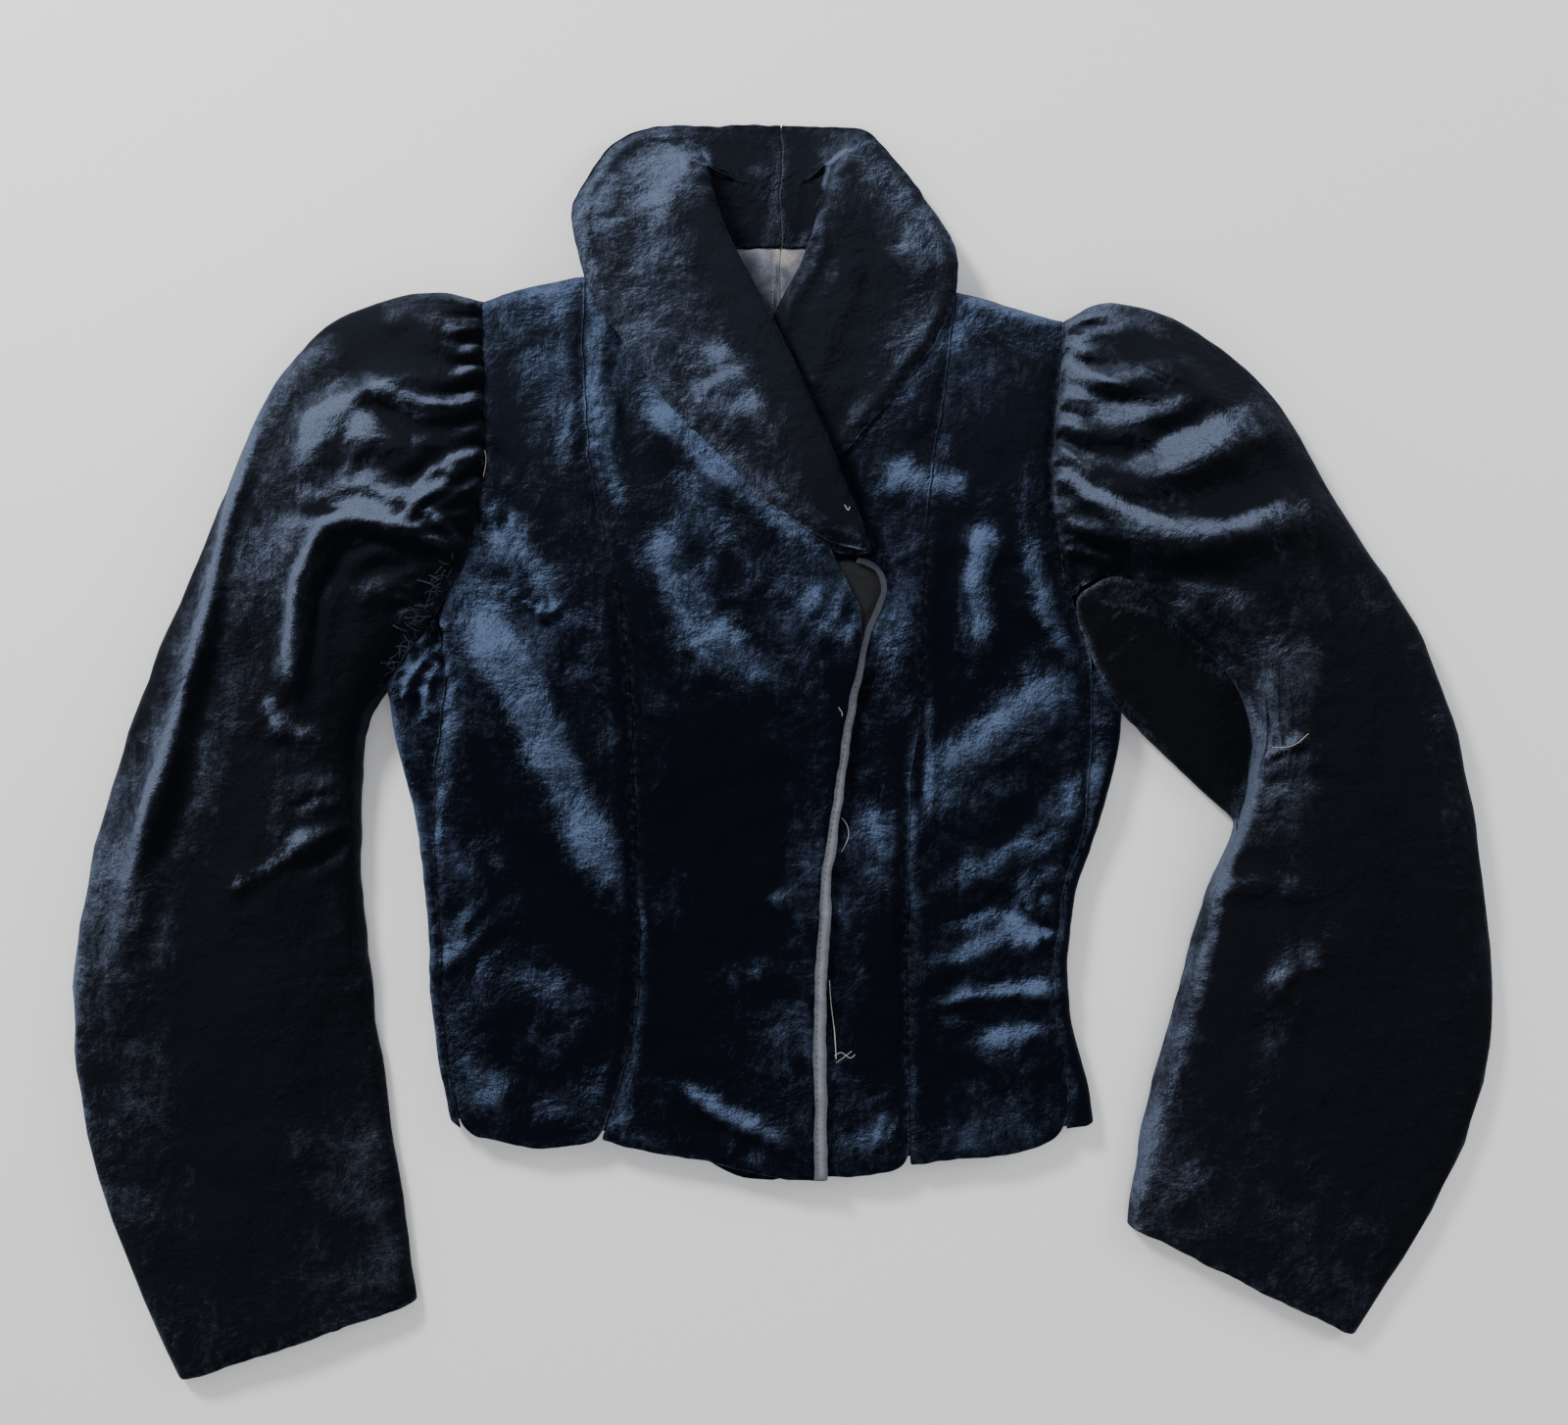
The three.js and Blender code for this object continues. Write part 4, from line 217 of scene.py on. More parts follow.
# Strokes of crushed, shining nap and painted light: painted highlights along folds and ridges, painted shade (under
# 0) in hollows, below folds and in the collar stand; on the lining painted wrinkle shade, a dark seam line and a
# stain: name, line, width in mm, strength
NAP_MARKS_AND_PAINTED_LIGHT = [
    ("right_sweep", [(-178, 117), (-166, 67), (-142, 18), (-117, -38), (-88, -87)], 15, 1.0),
    ("right_armhole", [(-168, 154), (-154, 123), (-126, 80)], 10, 0.55),
    ("right_side", [(-200, 49), (-192, 12), (-197, -25)], 9, 0.6),
    ("right_side_low", [(-196, -50), (-173, -56), (-154, -81)], 9, 0.35),
    ("right_crush", [(-142, 98), (-120, 74), (-98, 80)], 8, 0.5),
    ("right_hip", [(-191, -149), (-182, -180), (-166, -211)], 14, 0.55),
    ("right_hip_low", [(-154, -205), (-117, -211), (-101, -180)], 12, 0.4),
    ("right_hip_mid", [(-197, -112), (-154, -131), (-98, -143)], 12, 0.35),
    ("shoulder_right", [(-166, 241), (-148, 253), (-117, 259)], 12, 0.55),
    ("shoulder_pucker", [(-98, 210), (-101, 173), (-92, 135)], 7, 0.7),
    ("lap", [(-87, 211), (-55, 182), (-18, 151), (28, 111)], 11, 0.9),
    ("centre", [(-69, 129), (-58, 92), (-37, 58), (-2, 40)], 15, 1.0),
    ("centre_high", [(-67, 173), (-30, 123), (-12, 98)], 9, 0.5),
    ("corner", [(4, 95), (28, 74), (44, 61)], 8, 0.8),
    ("centre_low", [(-30, -86), (7, -86)], 5, 0.5),
    ("centre_mid", [(-37, -134), (-9, -128)], 8, 0.4),
    ("hem", [(-58, -194), (-30, -212), (4, -228)], 6, 0.9),
    ("hem_right", [(-92, -220), (-67, -233), (-37, -242)], 6, 0.4),
    ("hem_left", [(41, -226), (66, -220)], 10, 0.8),
    ("left_chest", [(55, 165), (81, 154), (112, 154)], 12, 0.75),
    ("left_fold", [(121, 135), (112, 98), (117, 61)], 9, 0.9),
    ("left_side", [(146, 117), (155, 74), (177, 43)], 7, 0.7),
    ("left_sweep", [(174, 43), (140, 18), (100, -10), (84, -38)], 16, 1.0),
    ("left_side_low", [(183, 18), (177, -13), (165, -44)], 8, 0.6),
    ("left_drag_one", [(161, -58), (127, -64), (96, -81)], 8, 0.7),
    ("left_drag_two", [(155, -100), (124, -93), (87, -106)], 6, 0.6),
    ("left_drag_three", [(161, -140), (137, -139), (109, -142)], 5, 1.0),
    ("left_drag_four", [(155, -158), (124, -165), (87, -152)], 6, 0.6),
    ("left_hip", [(171, -186), (155, -205), (131, -211)], 10, 0.5),
    ("left_lap_low", [(41, -25), (56, -50), (62, -69)], 9, 0.6),
    ("left_lap", [(44, 98), (62, 61), (69, 12)], 12, 0.35),
    ("collar_right_top", [(-92, 333), (-74, 343), (-52, 333)], 14, 0.432),
    ("collar_right_mid", [(-105, 309), (-80, 302), (-55, 312)], 14, 0.396),
    ("collar_right_low", [(-67, 231), (-37, 213), (-12, 197)], 14, 0.504),
    ("collar_right_tip", [(-37, 179), (-6, 154), (13, 148)], 10, 0.216),
    ("collar_right_edge", [(-86, 241), (-67, 216), (-43, 185)], 8, 0.324),
    ("collar_left_top", [(41, 343), (59, 333), (72, 309)], 12, 0.46799999999999997),
    ("collar_left_mid", [(75, 302), (87, 278), (81, 247)], 12, 0.396),
    ("collar_left_low", [(56, 197), (44, 185), (32, 173)], 8, 0.288),
    ("collar_stand", [(-4, 358), (-4, 327), (-3, 299)], 5, 0.54),
    ("collar_stand_gathers", [(-21, 304), (-2, 301), (18, 306)], 5, 0.36),
    ("shoulder_left", [(81, 228), (106, 247), (146, 244)], 14, 0.5),
    ("sleeve_right_fold", [(-280, 43), (-276, 96), (-258, 128), (-241, 132), (-185, 120)], 5.25, 0.935),
    ("sleeve_right_body", [(-278, 49), (-272, 86), (-253, 98)], 9.0, 0.66),
    ("sleeve_right_curl", [(-270, 173), (-262, 188), (-247, 195), (-230, 180)], 9.0, 0.935),
    ("sleeve_right_curl_low", [(-265, 154), (-247, 148), (-228, 142)], 6.75, 0.55),
    ("sleeve_right_ridge", [(-301, 207), (-317, 148), (-333, 69), (-352, -1), (-368, -50)], 6, 0.36),
    ("sleeve_right_patch", [(-366, -72), (-371, -90), (-371, -103)], 6.0, 0.6),
    ("sleeve_right_patch_low", [(-383, -121), (-377, -109)], 6, 0.48),
    ("sleeve_right_elbow", [(-295, 31), (-285, 15), (-269, 7)], 6, 0.7),
    ("sleeve_right_crease", [(-320, -80), (-299, -70), (-278, -55)], 3, 0.7),
    ("sleeve_right_crease_two", [(-282, -32), (-259, -25)], 2.5, 0.6),
    ("sleeve_right_edge", [(-250, -81), (-245, -149), (-233, -211), (-222, -285)], 3, 0.55),
    ("sleeve_right_outer", [(-411, -100), (-415, -162), (-402, -242)], 4, 0.24),
    ("sleeve_right_cuff", [(-346, -353), (-290, -344), (-234, -325)], 5, 0.4),
    ("sleeve_right_corner", [(-361, -335), (-355, -350)], 6.0, 0.33),
    ("sleeve_right_head", [(-197, 250), (-185, 231), (-182, 197)], 6, 0.6),
    ("sleeve_left_first", [(189, 128), (236, 119), (267, 129), (307, 137)], 6.75, 1.0),
    ("sleeve_left_second", [(212, 156), (236, 168), (279, 187)], 6.75, 0.8800000000000001),
    ("sleeve_left_head", [(171, 241), (169, 210), (166, 179)], 6, 0.6),
    ("sleeve_left_high", [(174, 203), (205, 194), (223, 196)], 6.0, 0.55),
    ("sleeve_left_lower", [(177, 98), (192, 86), (217, 80)], 5.25, 0.6050000000000001),
    ("sleeve_left_nick", [(278, -1), (290, 3), (301, 10)], 3, 1.0),
    ("sleeve_left_edge", [(270, 36), (277, -1), (254, -81), (242, -143), (223, -205), (208, -267)], 3, 0.5),
    ("sleeve_left_crease", [(282, -137), (296, -123), (315, -117)], 5.25, 0.66),
    ("sleeve_left_low", [(304, -248), (319, -242)], 5.25, 0.44000000000000006),
    ("sleeve_left_mid", [(310, -100), (335, -106)], 6.0, 0.385),
    ("sleeve_left_outer", [(398, -25), (410, -100), (411, -174)], 4, 0.4),
    ("sleeve_left_bright", [(248, 98), (279, 74), (304, 49)], 10.5, 0.44000000000000006),
    ("under_sleeve_edge", [(186, 36), (223, 2)], 3, 0.8),
    ("centre_deep", [(-37, 12), (-27, -50), (-21, -112)], 26, -0.8),
    ("centre_deep_low", [(-67, -112), (-55, -174)], 16, -0.5),
    ("dart_deep", [(-88, 111), (-86, 12), (-85, -87)], 7, -0.6),
    ("chest_deep_right", [(-154, 203), (-142, 166)], 18, -0.6),
    ("waist_deep_right", [(-154, -50), (-117, -112), (-111, -149)], 14, -0.6),
    ("side_deep_right", [(-182, 12), (-166, -38)], 7, -0.5),
    ("collar_deep_right", [(-37, 312), (-18, 265), (7, 197)], 13, -0.9),
    ("collar_deep_tip", [(13, 197), (25, 166), (32, 135)], 16, -0.8),
    ("collar_deep_left", [(56, 296), (38, 247), (25, 216)], 17, -0.9),
    ("stand_deep_right", [(-30, 343), (-25, 312)], 8, -0.9),
    ("stand_deep_left", [(16, 343), (14, 312)], 8, -0.8),
    ("chest_deep_left", [(131, 197), (134, 154)], 18, -0.7),
    ("fold_deep_left", [(93, 111), (89, 49)], 10, -0.7),
    ("lap_deep_left", [(62, -87), (62, -174)], 11, -0.7),
    ("side_deep_left", [(146, -25), (112, -69)], 8, -0.7),
    ("hip_deep_left", [(93, -180), (131, -192)], 8, -0.5),
    ("sleeve_deep_right", [(-303, -50), (-321, -131), (-315, -267)], 32, -0.75),
    ("sleeve_deep_right_head", [(-259, 238), (-197, 228)], 14, -0.7),
    ("sleeve_deep_right_fold", [(-259, 98), (-250, 61), (-259, -1)], 10, -0.8),
    ("sleeve_deep_right_outer", [(-333, 179), (-358, 98), (-383, 12)], 14, -0.5),
    ("sleeve_deep_left", [(335, 24), (359, -87), (322, -223)], 38, -0.75),
    ("sleeve_deep_left_head", [(211, 225), (267, 197)], 14, -0.7),
    ("sleeve_deep_left_mid", [(205, 142), (254, 157)], 7, -0.8),
    ("sleeve_deep_left_inner", [(273, -50), (260, -143), (248, -223)], 20, -0.5),
    ("under_deep_left", [(192, 61), (230, 24), (260, -13)], 22, -0.9),
    ("underarm_one", [(-228, 75), (-210, 81), (-191, 71)], 2.5, 0.9),
    ("underarm_two", [(-230, 49), (-209, 60), (-194, 44)], 2.5, 0.8),
    ("underarm_three", [(-223, 31), (-209, 36), (-195, 18)], 2.5, 0.8),
    ("underarm_four", [(-154, 90), (-136, 81), (-124, 90)], 2.5, 0.7),
    ("sleeve_right_fold_shade", [(-268, 40), (-264, 83), (-252, 114), (-228, 121), (-191, 109)], 4, -1.0),
    ("sleeve_right_gather_shade", [(-191, 190), (-216, 188), (-241, 200)], 7, -0.9),
    ("sleeve_right_gather_shade_two", [(-188, 154), (-210, 139), (-228, 135)], 5, -0.8),
    ("sleeve_left_second_shade", [(186, 173), (211, 182), (242, 194)], 6, -0.9),
    ("collar_right_fall", [(-92, 346), (-101, 302), (-92, 259), (-61, 216), (-30, 185)], 26, 0.396),
    ("collar_right_lip", [(-30, 241), (-6, 197), (19, 154)], 12, 0.36),
    ("collar_left_fall", [(69, 321), (84, 284), (75, 247), (56, 216)], 18, 0.432),
    ("collar_left_lip", [(25, 290), (32, 259), (41, 234)], 8, 0.288),
    ("shoulder_right_bright", [(-142, 241), (-136, 197), (-142, 166)], 20, 0.55),
    ("armhole_right_bright", [(-166, 154), (-154, 123), (-166, 98)], 12, 0.5),
    ("armhole_left_bright", [(146, 185), (140, 135), (146, 98)], 9, 0.55),
    ("sleeve_left_fold_bright", [(223, 132), (239, 123), (254, 120), (280, 129), (310, 137)], 9, 1.0),
    ("sleeve_left_fold_edge", [(160, 169), (176, 148), (205, 136), (234, 123)], 4, 1.0),
    ("sleeve_left_fold_dark", [(180, 159), (205, 147), (238, 141), (297, 150)], 7, -1.0),
    ("sleeve_left_fold_under", [(230, 106), (267, 104), (298, 117)], 8, -0.7),
    ("sleeve_left_leaf", [(205, 174), (230, 182), (254, 192), (270, 202)], 8, 0.9),
    ("sleeve_left_curl", [(173, 197), (192, 192), (208, 196)], 6, 0.7),
    ("sleeve_left_high", [(208, 215), (230, 218), (248, 212)], 10, 0.45),
    ("sleeve_left_elbow_glow", [(223, 92), (245, 74), (267, 49)], 14, 0.4),
    ("sleeve_right_hook", [(-269, 66), (-271, 96), (-256, 119), (-222, 126), (-183, 122)], 4, 1.0),
    ("sleeve_right_hook_in", [(-259, 67), (-257, 95), (-246, 110), (-216, 115), (-191, 111)], 5, -1.0),
    ("sleeve_right_streak", [(-282, 152), (-247, 145), (-217, 137)], 5, 0.9),
    ("sleeve_right_streak_dark", [(-278, 142), (-247, 135), (-225, 132)], 4, -0.7),
    ("sleeve_right_leaf", [(-271, 169), (-265, 189), (-247, 195), (-230, 182)], 8, 0.8),
    ("sleeve_right_leaf_dark", [(-216, 200), (-221, 179), (-216, 154)], 9, -0.9),
    ("sleeve_right_curl", [(-234, 208), (-209, 193), (-178, 199)], 5, 0.9),
    ("sleeve_right_top_gather", [(-200, 234), (-176, 238)], 4, 0.8),
    ("sleeve_right_seam_gather", [(-182, 173), (-197, 154), (-213, 139)], 5, 0.8),
    ("sleeve_right_head_dark", [(-275, 259), (-236, 241), (-204, 219)], 16, -0.8),
    ("sleeve_left_head_dark", [(186, 231), (230, 234), (267, 221)], 12, -0.6),
    ("lining_seam", [(-2, 295), (-3, 277), (-6, 250)], 0.8, -1.0),
    ("lining_stain", [(-6, 293), (1, 292), (9, 290)], 5, 1.0),
    ("lining_wrinkle_one", [(-27, 271), (-14, 274), (-6, 279)], 2.2, -0.6),
    ("lining_wrinkle_two", [(-19, 264), (-11, 269), (-6, 270)], 2.0, -0.55),
    ("lining_wrinkle_three", [(-1, 287), (4, 279), (-1, 269)], 2.2, -0.6),
    ("lining_wrinkle_four", [(-23, 285), (-14, 287), (-8, 285)], 1.8, -0.4),
    ("lining_shade", [(-30, 295), (-20, 273), (-8, 251)], 4.5, -0.55),
    ("collar_right_turn", [(-78, 361), (-57, 360), (-47, 356), (-43, 343), (-41, 328)], 1.7, 0.6),
    ("collar_left_turn", [(16, 316), (23, 330), (26, 343), (35, 351), (48, 355)], 1.7, 0.6),
    ("collar_stand_dark_right", [(-34, 358), (-30, 329), (-21, 306)], 9, -0.9),
    ("collar_stand_dark_left", [(13, 358), (12, 335), (8, 308)], 7, -0.9),
    ("under_left_rim", [(168, 81), (192, 28), (218, 5), (238, -15)], 4, 0.8),
    ("under_left_crease", [(187, 51), (210, 74)], 2.5, 0.7),
    ("armpit_right_fray", [(-192, 108), (-208, 79), (-227, 50)], 8, 0.55),
    ("sleeve_right_y_arm", [(-218, 126), (-208, 140), (-194, 152), (-177, 174)], 3.2, 0.95),
    ("sleeve_right_y_loop", [(-183, 120), (-190, 129), (-199, 136), (-208, 136)], 2.8, 0.95),
    ("sleeve_right_y_dark", [(-215, 155), (-205, 166), (-191, 185)], 6, -0.95),
    ("sleeve_right_y_dark_low", [(-255, 111), (-231, 114), (-202, 108)], 7, -0.9),
]

# Each piece of cloth: node, layer, levels of smoothing, material slot, cut width and length in m, cut area in m2
CLOTH = [
    ("back_right", "back", 2, "velvet", 0.181, 0.550, 0.0829),
    ("back_left", "back", 2, "velvet", 0.165, 0.550, 0.0754),
    ("side_right", "body", 3, "velvet", 0.103, 0.350, 0.0245),
    ("side_left", "body", 3, "velvet", 0.082, 0.340, 0.0180),
    ("front_right_side", "body", 3, "velvet", 0.120, 0.511, 0.0477),
    ("front_left_side", "body", 3, "velvet", 0.108, 0.511, 0.0434),
    ("front_right_centre", "body", 3, "velvet", 0.162, 0.540, 0.0602),
    ("front_left_centre", "body", 3, "velvet", 0.146, 0.540, 0.0577),
    ("sleeve_right_upper", "sleeve", 2, "velvet", 0.270, 0.650, 0.1088),
    ("sleeve_right_under", "under", 2, "velvet", 0.240, 0.620, 0.0959),
    ("sleeve_left_upper", "sleeve", 2, "velvet", 0.260, 0.650, 0.1017),
    ("sleeve_left_under", "under", 2, "velvet", 0.240, 0.620, 0.1061),
    ("collar_right", "collar", 3, "velvet", 0.160, 0.300, 0.0298),
    ("collar_left", "collar", 3, "velvet", 0.150, 0.300, 0.0269),
    ("edge_tape", "tape", 3, "tape", 0.010, 0.370, 0.0021),
    ("front_right_facing", "body", 3, "facing", 0.039, 0.046, 0.00108),
    ("back_lining_right", "lining", 3, "lining", 0.040, 0.076, 0.00245),
    ("back_lining_left", "lining", 3, "lining", 0.034, 0.076, 0.00198),
]
TONES = {"body": 1.0, "collar": 0.4, "sleeve": 0.25, "under": 0.1, "back": 0.8}
# Painted glare: a paler haze of reflected light laid over the dark velvet, stronger towards the picture's top, plus
# an even part
PAINTED_GLARE_BY_LAYER = {"body": 0.25, "collar": 0.25, "sleeve": 0.15, "under": 0.1}
EVEN_PAINTED_GLARE_BY_LAYER = {"sleeve": 0.14, "under": 0.08, "collar": 0.1}


def points_of(mesh):
    values = np.empty(len(mesh.vertices) * 3)
    mesh.vertices.foreach_get("co", values)
    return values.reshape(-1, 3)


def normals_of(mesh):
    values = np.empty(len(mesh.vertices) * 3)
    mesh.vertices.foreach_get("normal", values)
    return values.reshape(-1, 3)


def smooth(low, high, values):
    share = np.clip((values - low) / (high - low), 0, 1)
    return share * share * (3 - 2 * share)


def along(line, flat):
    """The distance in mm from each point to the line, and how far along the line that is, from 0 to 1."""
    ends = np.array(line, float)
    steps = np.hypot(*(ends[1:] - ends[:-1]).T)
    before = np.concatenate(([0], np.cumsum(steps)))
    nearest = np.full(len(flat), 1e9)
    share = np.zeros(len(flat))
    for start, end, length, so_far in zip(ends[:-1], ends[1:], steps, before):
        way = (end - start) / length
        at = np.clip((flat - start) @ way, 0, length)
        gap = np.hypot(*(flat - start - at[:, None] * way).T)
        closer = gap < nearest
        nearest = np.where(closer, gap, nearest)
        share = np.where(closer, (so_far + at) / before[-1], share)
    return nearest, share


def near(line, flat, reach):
    ends = np.array(line, float)
    low, high = ends.min(axis=0) - reach, ends.max(axis=0) + reach
    return np.all((flat > low) & (flat < high), axis=1)


def crease_heights(flat, layer):
    """The height in mm that the creases of one layer add at each point, uneven along each crease."""
    total = np.zeros(len(flat))
    for number, (_, on, line, width, height) in enumerate(CREASES):
        if on != layer:
            continue
        inside = near(line, flat, width * 3.2)
        if not inside.any():
            continue
        gap, share = along(line, flat[inside])
        wander = 1 + 0.22 * np.sin(share * 9 + number * 1.7) + 0.12 * np.sin(share * 21 + number)
        ends = smooth(0, 0.22, share) * smooth(0, 0.28, 1 - share)
        reach = gap / (width * wander)
        shape = np.exp(-reach**2) - 0.28 * np.exp(-((reach - 1.9) ** 2) * 1.6)
        total[inside] += height * (0.25 + 0.75 * ends) * wander * shape * smooth(0, 0.05, ends + 0.04)
    return total


def gather_heights(flat):
    """The height in mm of the gathers, full at the armhole's seam and fading into the sleeve."""
    total = np.zeros(len(flat))
    for number, (line, width, height) in enumerate(GATHERS):
        inside = near(line, flat, width * 3)
        if not inside.any():
            continue
        gap, share = along(line, flat[inside])
        spread = width * (0.8 + 0.7 * share)
        fade = 1 - smooth(0.35, 1.0, share)
        total[inside] += height * fade * (1 + 0.15 * np.sin(number * 2.3)) * np.exp(-((gap / spread) ** 2))
    return total


def rumple(points, scale, seed):
    """Soft uneven noise between about -1 and 1 at each point, in waves of the scale in mm."""
    shift = Vector((seed * 3.1, seed * 1.7, seed * 5.3))
    step = 1 / (scale * MM)
    return np.array([noise.noise(Vector(p) * step + shift) for p in points])


def crushed(points, layer):
    """The height in mm that crumpled areas add, and how crumpled each point is, from 0 to 1."""
    flat = points[:, :2] / MM
    height, share = np.zeros(len(points)), np.zeros(len(points))
    for number, (_, on, middle, half, tall, wave) in enumerate(CRUSHED):
        away = np.hypot(*((flat - middle) / half).T)
        inside = (away < 1.9) & (on == layer)
        if inside.any():
            fade = np.exp(-((away[inside] / 0.95) ** 3))
            waves = rumple(points[inside], wave, 10 + number)
            height[inside] += tall * fade * (1 - 3.2 * np.abs(waves))
            share[inside] = np.maximum(share[inside], fade)
    return height, share


def wander_at(point):
    """A small sideways shift in mm that is the same for every layer, so seams stay closed."""
    wide, fine = noise.noise_vector(point * 42), noise.noise_vector(point * 130)
    return (1.6 * wide.x + 0.7 * fine.x, 1.6 * wide.y + 0.7 * fine.y)


def marks_and_painted_light_at(flat, layer):
    """From -1 for painted shade to 1 for crushed, shining nap and painted highlights, at each point; on the lining
    the strokes give its wrinkle shade, seam line and stain.
    """
    total, dark = np.zeros(len(flat)), np.zeros(len(flat))
    for name, line, width, strength in NAP_MARKS_AND_PAINTED_LIGHT:
        inside = near(line, flat, width * 2.6)
        if name.startswith("lining") != (layer == "lining") or not inside.any():
            continue
        gap, share = along(line, flat[inside])
        ends = 0.35 + 0.65 * smooth(0, 0.2, share) * smooth(0, 0.2, 1 - share)
        glow = abs(strength) * ends * np.exp(-((gap / width) ** 2))
        # Strokes over 0 paint highlights and nap shine, strokes under 0 paint shade
        if strength > 0:
            total[inside] = np.maximum(total[inside], glow)
        else:
            dark[inside] = np.maximum(dark[inside], glow)
    return total * (1 - 0.5 * dark) - dark * (1 - total)


def rim_tree(mesh):
    """A search tree of points along the corners where a wall's face turns into its edge."""
    work = bmesh.new()
    work.from_mesh(mesh)
    found = []
    for edge in work.edges:
        if len(edge.link_faces) == 2 and edge.calc_face_angle(0) > math.radians(62):
            a, b = edge.verts[0].co, edge.verts[1].co
            count = max(2, int((a - b).length / 0.002))
            found += [a.lerp(b, i / count) for i in range(count)]
    work.free()
    tree = KDTree(max(1, len(found)))
    for i, point in enumerate(found):
        tree.insert(point, i)
    tree.balance()
    return tree


def wall_from(node):
    """The node's faces as one closed mesh of four-sided faces, with its corners held while it is smoothed."""
    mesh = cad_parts[node].data.copy()
    work = bmesh.new()
    work.from_mesh(mesh)
    bmesh.ops.remove_doubles(work, verts=work.verts, dist=5e-6)
    bmesh.ops.join_triangles(
        work,
        faces=work.faces,
        angle_face_threshold=math.radians(40),
        angle_shape_threshold=math.radians(75),
    )
    held = work.edges.layers.float.get("crease_edge") or work.edges.layers.float.new("crease_edge")
    for edge in work.edges:
        if len(edge.link_faces) == 2 and edge.calc_face_angle(0) > math.radians(70):
            edge[held] = 0.72
    for face in work.faces:
        face.smooth = True
    work.to_mesh(mesh)
    work.free()
    for name in ("custom_normal", "sharp_edge", "sharp_face"):
        layer = mesh.attributes.get(name)
        if layer:
            mesh.attributes.remove(layer)
    mesh.materials.clear()
    return mesh


def smoothed(piece, levels):
    modifier = piece.modifiers.new("smooth", "SUBSURF")
    modifier.levels = modifier.render_levels = levels
    shown = bpy.data.meshes.new_from_object(piece.evaluated_get(bpy.context.evaluated_depsgraph_get()))
    piece.modifiers.clear()
    piece.data = shown
    return shown


def shaped(mesh, layer, tree, number):
    """Moves the wall up and down by its creases, rumples and seam dents, and keeps what rests on the floor there."""
    points = points_of(mesh)
    normals = normals_of(mesh)
    flat = points[:, :2] / MM
    edge = np.array([tree.find(p)[2] for p in points]) / MM
    height = crease_heights(flat, layer)
    crumpled = np.zeros(len(points))
    if layer in ("body", "sleeve", "collar"):
        height += 0.7 * rumple(points, 34, 1) + 0.5 * rumple(points, 15, 2)
        height -= 1.0 * np.exp(-((edge / 3.5) ** 2)) * smooth(0.1, 0.6, np.abs(normals[:, 2]))
        free = smooth(2.5, 9, points[:, 2] / MM)
        folded, crumpled = crushed(points, layer)
        height += folded
        if layer == "sleeve":
            height += gather_heights(flat)
        if layer == "collar":
            height += 1.3 * np.exp(-(((edge - 7) / 4) ** 2))
    elif layer == "back":
        free = np.ones(len(points))
        height = np.maximum(height, 0) + 0.12
    elif layer == "under":
        free = smooth(3, 9, points[:, 2] / MM)
        height += 0.4 * rumple(points, 22, 3)
    else:
        free = np.zeros(len(points))
    if layer == "lining":
        height = np.maximum(crease_heights(flat, "lining"), -0.15)
        free = np.ones(len(points))
    if layer == "tape":
        height = crease_heights(flat, "body") + 0.7 * rumple(points, 34, 1) + 0.5 * rumple(points, 15, 2)
        free = smooth(2.5, 9, points[:, 2] / MM)
    points[:, 2] += height * free * MM
    wobble = np.array([wander_at(Vector((x, y, 0))) for x, y, _ in points])
    points[:, :2] += wobble * (0.35 + 0.65 * np.exp(-edge / 12) + crumpled)[:, None] * MM
    points[:, 2] = np.maximum(points[:, 2], 0.0)
    mesh.vertices.foreach_set("co", points.ravel())
    mesh.update()
    # Painted light for the shader: the strokes' painted highlights and shade, a painted highlight on crease tops, and
    # crumpled areas brighter as crushed, shining nap
    shine = marks_and_painted_light_at(flat, layer) if layer not in ("back", "tape") else np.zeros(len(flat))
    painted_ridge_highlight = np.clip(height / 3.5, 0, 1) ** 2 * 0.9
    write_values(mesh, "marks_and_painted_light", np.clip(shine + painted_ridge_highlight * 0.6 + 0.25 * crumpled, -1, 1))
    tone = smooth(-60, 90, flat[:, 1]) * -1 + 1 if layer == "tape" else np.full(len(flat), TONES.get(layer, 1.0))
    write_values(mesh, "tone", tone)
    # Painted glare, stronger towards the picture's top
    write_values(mesh, "painted_glare", PAINTED_GLARE_BY_LAYER.get(layer, 0.0) * smooth(60, 260, flat[:, 1]) + EVEN_PAINTED_GLARE_BY_LAYER.get(layer, 0.0))
    write_values(mesh, "edge", np.exp(-((edge / 3.0) ** 2)))
    return mesh


def write_values(mesh, name, values):
    layer = mesh.attributes.new(name, "FLOAT", "POINT")
    layer.data.foreach_set("value", np.asarray(values, np.float32))


def add_piece(name, mesh, material):
    piece = bpy.data.objects.new(name, mesh)
    bpy.context.scene.collection.objects.link(piece)
    mesh.materials.clear()
    mesh.materials.append(material)
    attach(piece, "root")
    return piece


# Materials

def new_material(name):
    material = bpy.data.materials.new(name)
    material.use_nodes = True
    tree = material.node_tree
    return material, tree, tree.nodes["Principled BSDF"]


def add(tree, kind, **values):
    made = tree.nodes.new(kind)
    for key, value in values.items():
        setattr(made, key, value)
    return made


def noise_at(tree, scale, detail=3, roughness=0.5, distortion=0.0, stretch=(1, 1, 1)):
    place = add(tree, "ShaderNodeTexCoord")
    move = add(tree, "ShaderNodeMapping")
    move.inputs["Scale"].default_value = stretch
    made = add(tree, "ShaderNodeTexNoise")
    made.inputs["Scale"].default_value = scale
    made.inputs["Detail"].default_value = detail
    made.inputs["Roughness"].default_value = roughness
    made.inputs["Distortion"].default_value = distortion
    tree.links.new(place.outputs["Object"], move.inputs["Vector"])
    tree.links.new(move.outputs["Vector"], made.inputs["Vector"])
    return made.outputs["Fac"]


